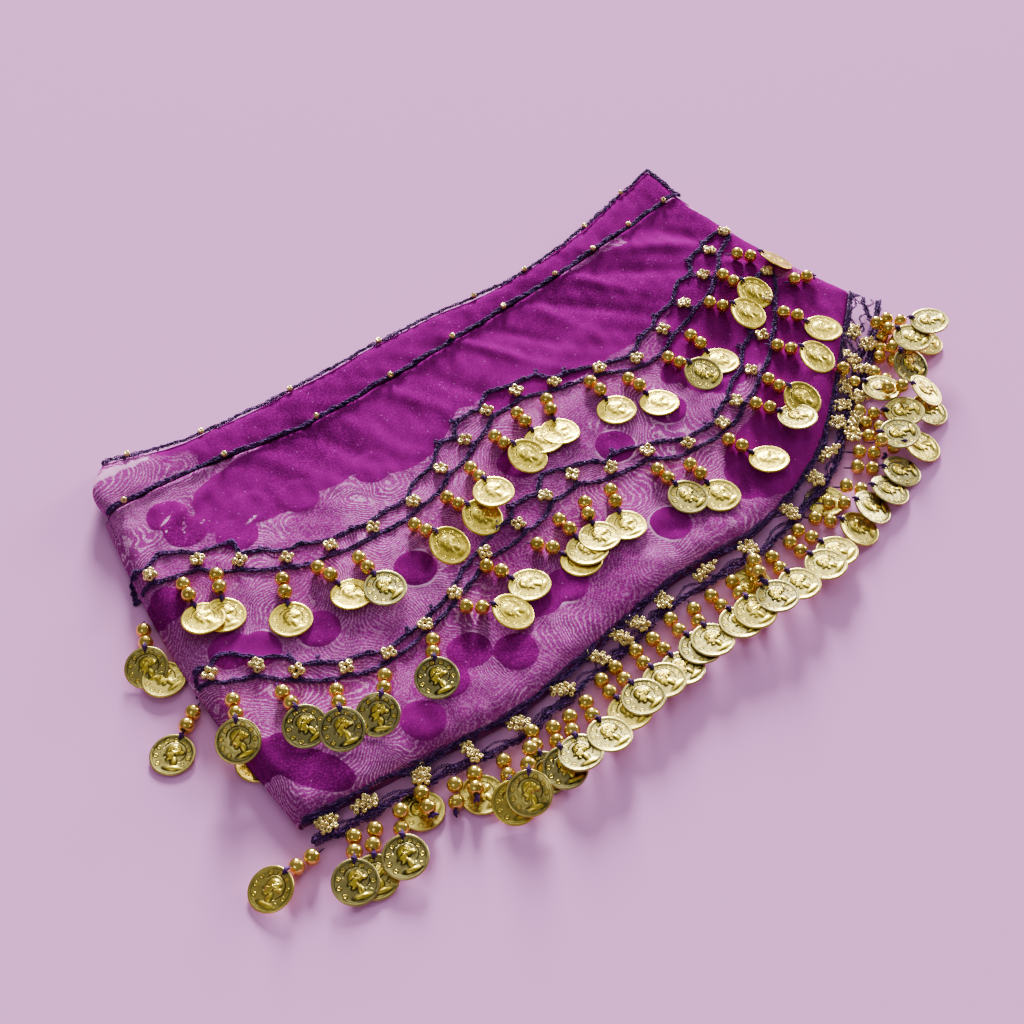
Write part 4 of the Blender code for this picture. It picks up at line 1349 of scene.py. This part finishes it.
DANGLES_2 = [
    # the same, with a wear of -1 for a coin that has slipped under the far edge
    (-159, 3, -148, 0, 1.5, 0.35), (-146, -8, -120, 0, 2.0, 0.3), (-129, -17, -100, 0, 3.5, 0.1),
    (-113, -30, -120, 1, 4.5, 0.05), (-94, -37, -138, 0, 4.0, 0.1), (-70, -34, -121, 0, 4.5, 0.0),
    (-48, -29, -50, 0, 0.0, 0.9), (-28, -18, -68, 1, 0.0, 0.6), (-4, -22, -64, 0, 0.0, 0.8),
    (12, -18, -97, 1, 1.0, 0.5), (25, -17, -110, 2, 1.0, 0.5), (39, -19, -112, 0, 0.0, 0.6),
    (63, -23, -91, 1, 2.5, 0.3), (76, -30, -93, 0, 0.0, 0.6), (99, -30, -70, 0, 0.0, 0.9),
    (124, -22, -67, 1, 2.0, 0.4), (138, -15, -80, 0, 0.0, 0.7), (159, -1, -63, 0, 0.0, 0.7),
    (179, 14, -66, 0, 0.0, 0.9), (200, 28, -24, 0, 0.0, -1),
]
for number, table in ((1, DANGLES_1), (2, DANGLES_2)):
    row = Dangles(20.0)
    for x, y, heading, _, prop, wear in sorted(table, key=lambda entry: entry[3]):
        row.lay(x, y, heading, prop, wear, coin_shows=wear >= 0)
    row.make("row_%d" % number,
             ["dangle_%d_%02d" % (number, k + 1) for k in range(len(table))])

# ------------------------------------------------------------------ the hem's fringe
# The same dangles along the net's outer chain, from the hems of the folded layers. They lie over
# each other, and they heap where the layers end at the right.
HEM = [
    # first bead's x, y, heading, in the order laid
    (-137, -84, -123), (-64, -88, -112),
    (-161, -78, -172), (-144, -82, -124), (-125, -85, -121),
    (-80, -92, -118), (-72, -96, -128), (-56, -92, -116), (-48, -92, -117),
    (-39, -91, -101), (-27, -87, -95), (-18, -86, -98), (-7, -85, -95), (4, -85, -97),
    (15, -82, -93), (26, -84, -109), (38, -84, -100), (48, -85, -107), (59, -85, -103),
    (71, -85, -100), (83, -84, -86),
]
HEAP = [
    # coin's middle x, y, heading, in the order laid
    (170, -82, -38), (203, -46, -92), (224, -36, -66), (190, -69, -40), (94, -101, -84),
    (112, -98, -60), (125, -94, -48), (139, -91, -42), (152, -86, -44), (165, -72, -48),
    (177, -64, -50), (181, -47, -72), (196, -62, -36), (213, -36, -84), (227, -34, -58),
]
TUCKED = [
    # coin's middle x, y, heading, height: coins of the lower layers that show past the edges
    (-159, 25, -95, 2.2), (-152, -31, -125, 0.9), (-117, -88, -60, 1.2),
    (-95, -97, -100, 1.0), (56, -89, 30, 1.2), (114, -76, -80, 1.4), (208, 27, -20, 2.2),
]
TURNED_BACK = [
    # first bead's x, y, heading: dangles whose coins are turned back under the net
    (-115, -84, -98), (-102, -89, -123), (-93, -90, -126), (59, -85, -112),
    (211, -21, -70), (199, -30, -60), (189, -36, -85), (161, -56, -60), (146, -66, -50),
]
HEAP_REACH = 19.6       # a coin's middle from its first bead
fringe = Dangles(11.0)
for x, y, heading, high in TUCKED:
    a = math.radians(heading)
    near = Vector((x - COIN_RADIUS * math.cos(a), y - COIN_RADIUS * math.sin(a)))
    flat_turn = Matrix.Rotation(a, 3, "Z")
    fringe.coins.append((at_place(near.x, near.y, high, flat_turn), 1.0, 0.5))
    mark_disc(x, y, COIN_RADIUS, high + 0.7)
for x, y, heading in HEM:
    fringe.lay(x, y, heading, dangle_random.uniform(3.0, 5.5), dangle_random.uniform(0.1, 0.6))
for x, y, heading in TURNED_BACK:
    fringe.lay(x, y, heading, 0.0, 0.0, coin_shows=False)
for x, y, heading in HEAP:
    a = math.radians(heading)
    fringe.lay(x - HEAP_REACH * math.cos(a), y - HEAP_REACH * math.sin(a), heading,
               dangle_random.uniform(3.0, 5.5), dangle_random.uniform(0.1, 0.5))
fringe.make("hem", ["fringe_%d" % (k + 1) for k in range(8)])
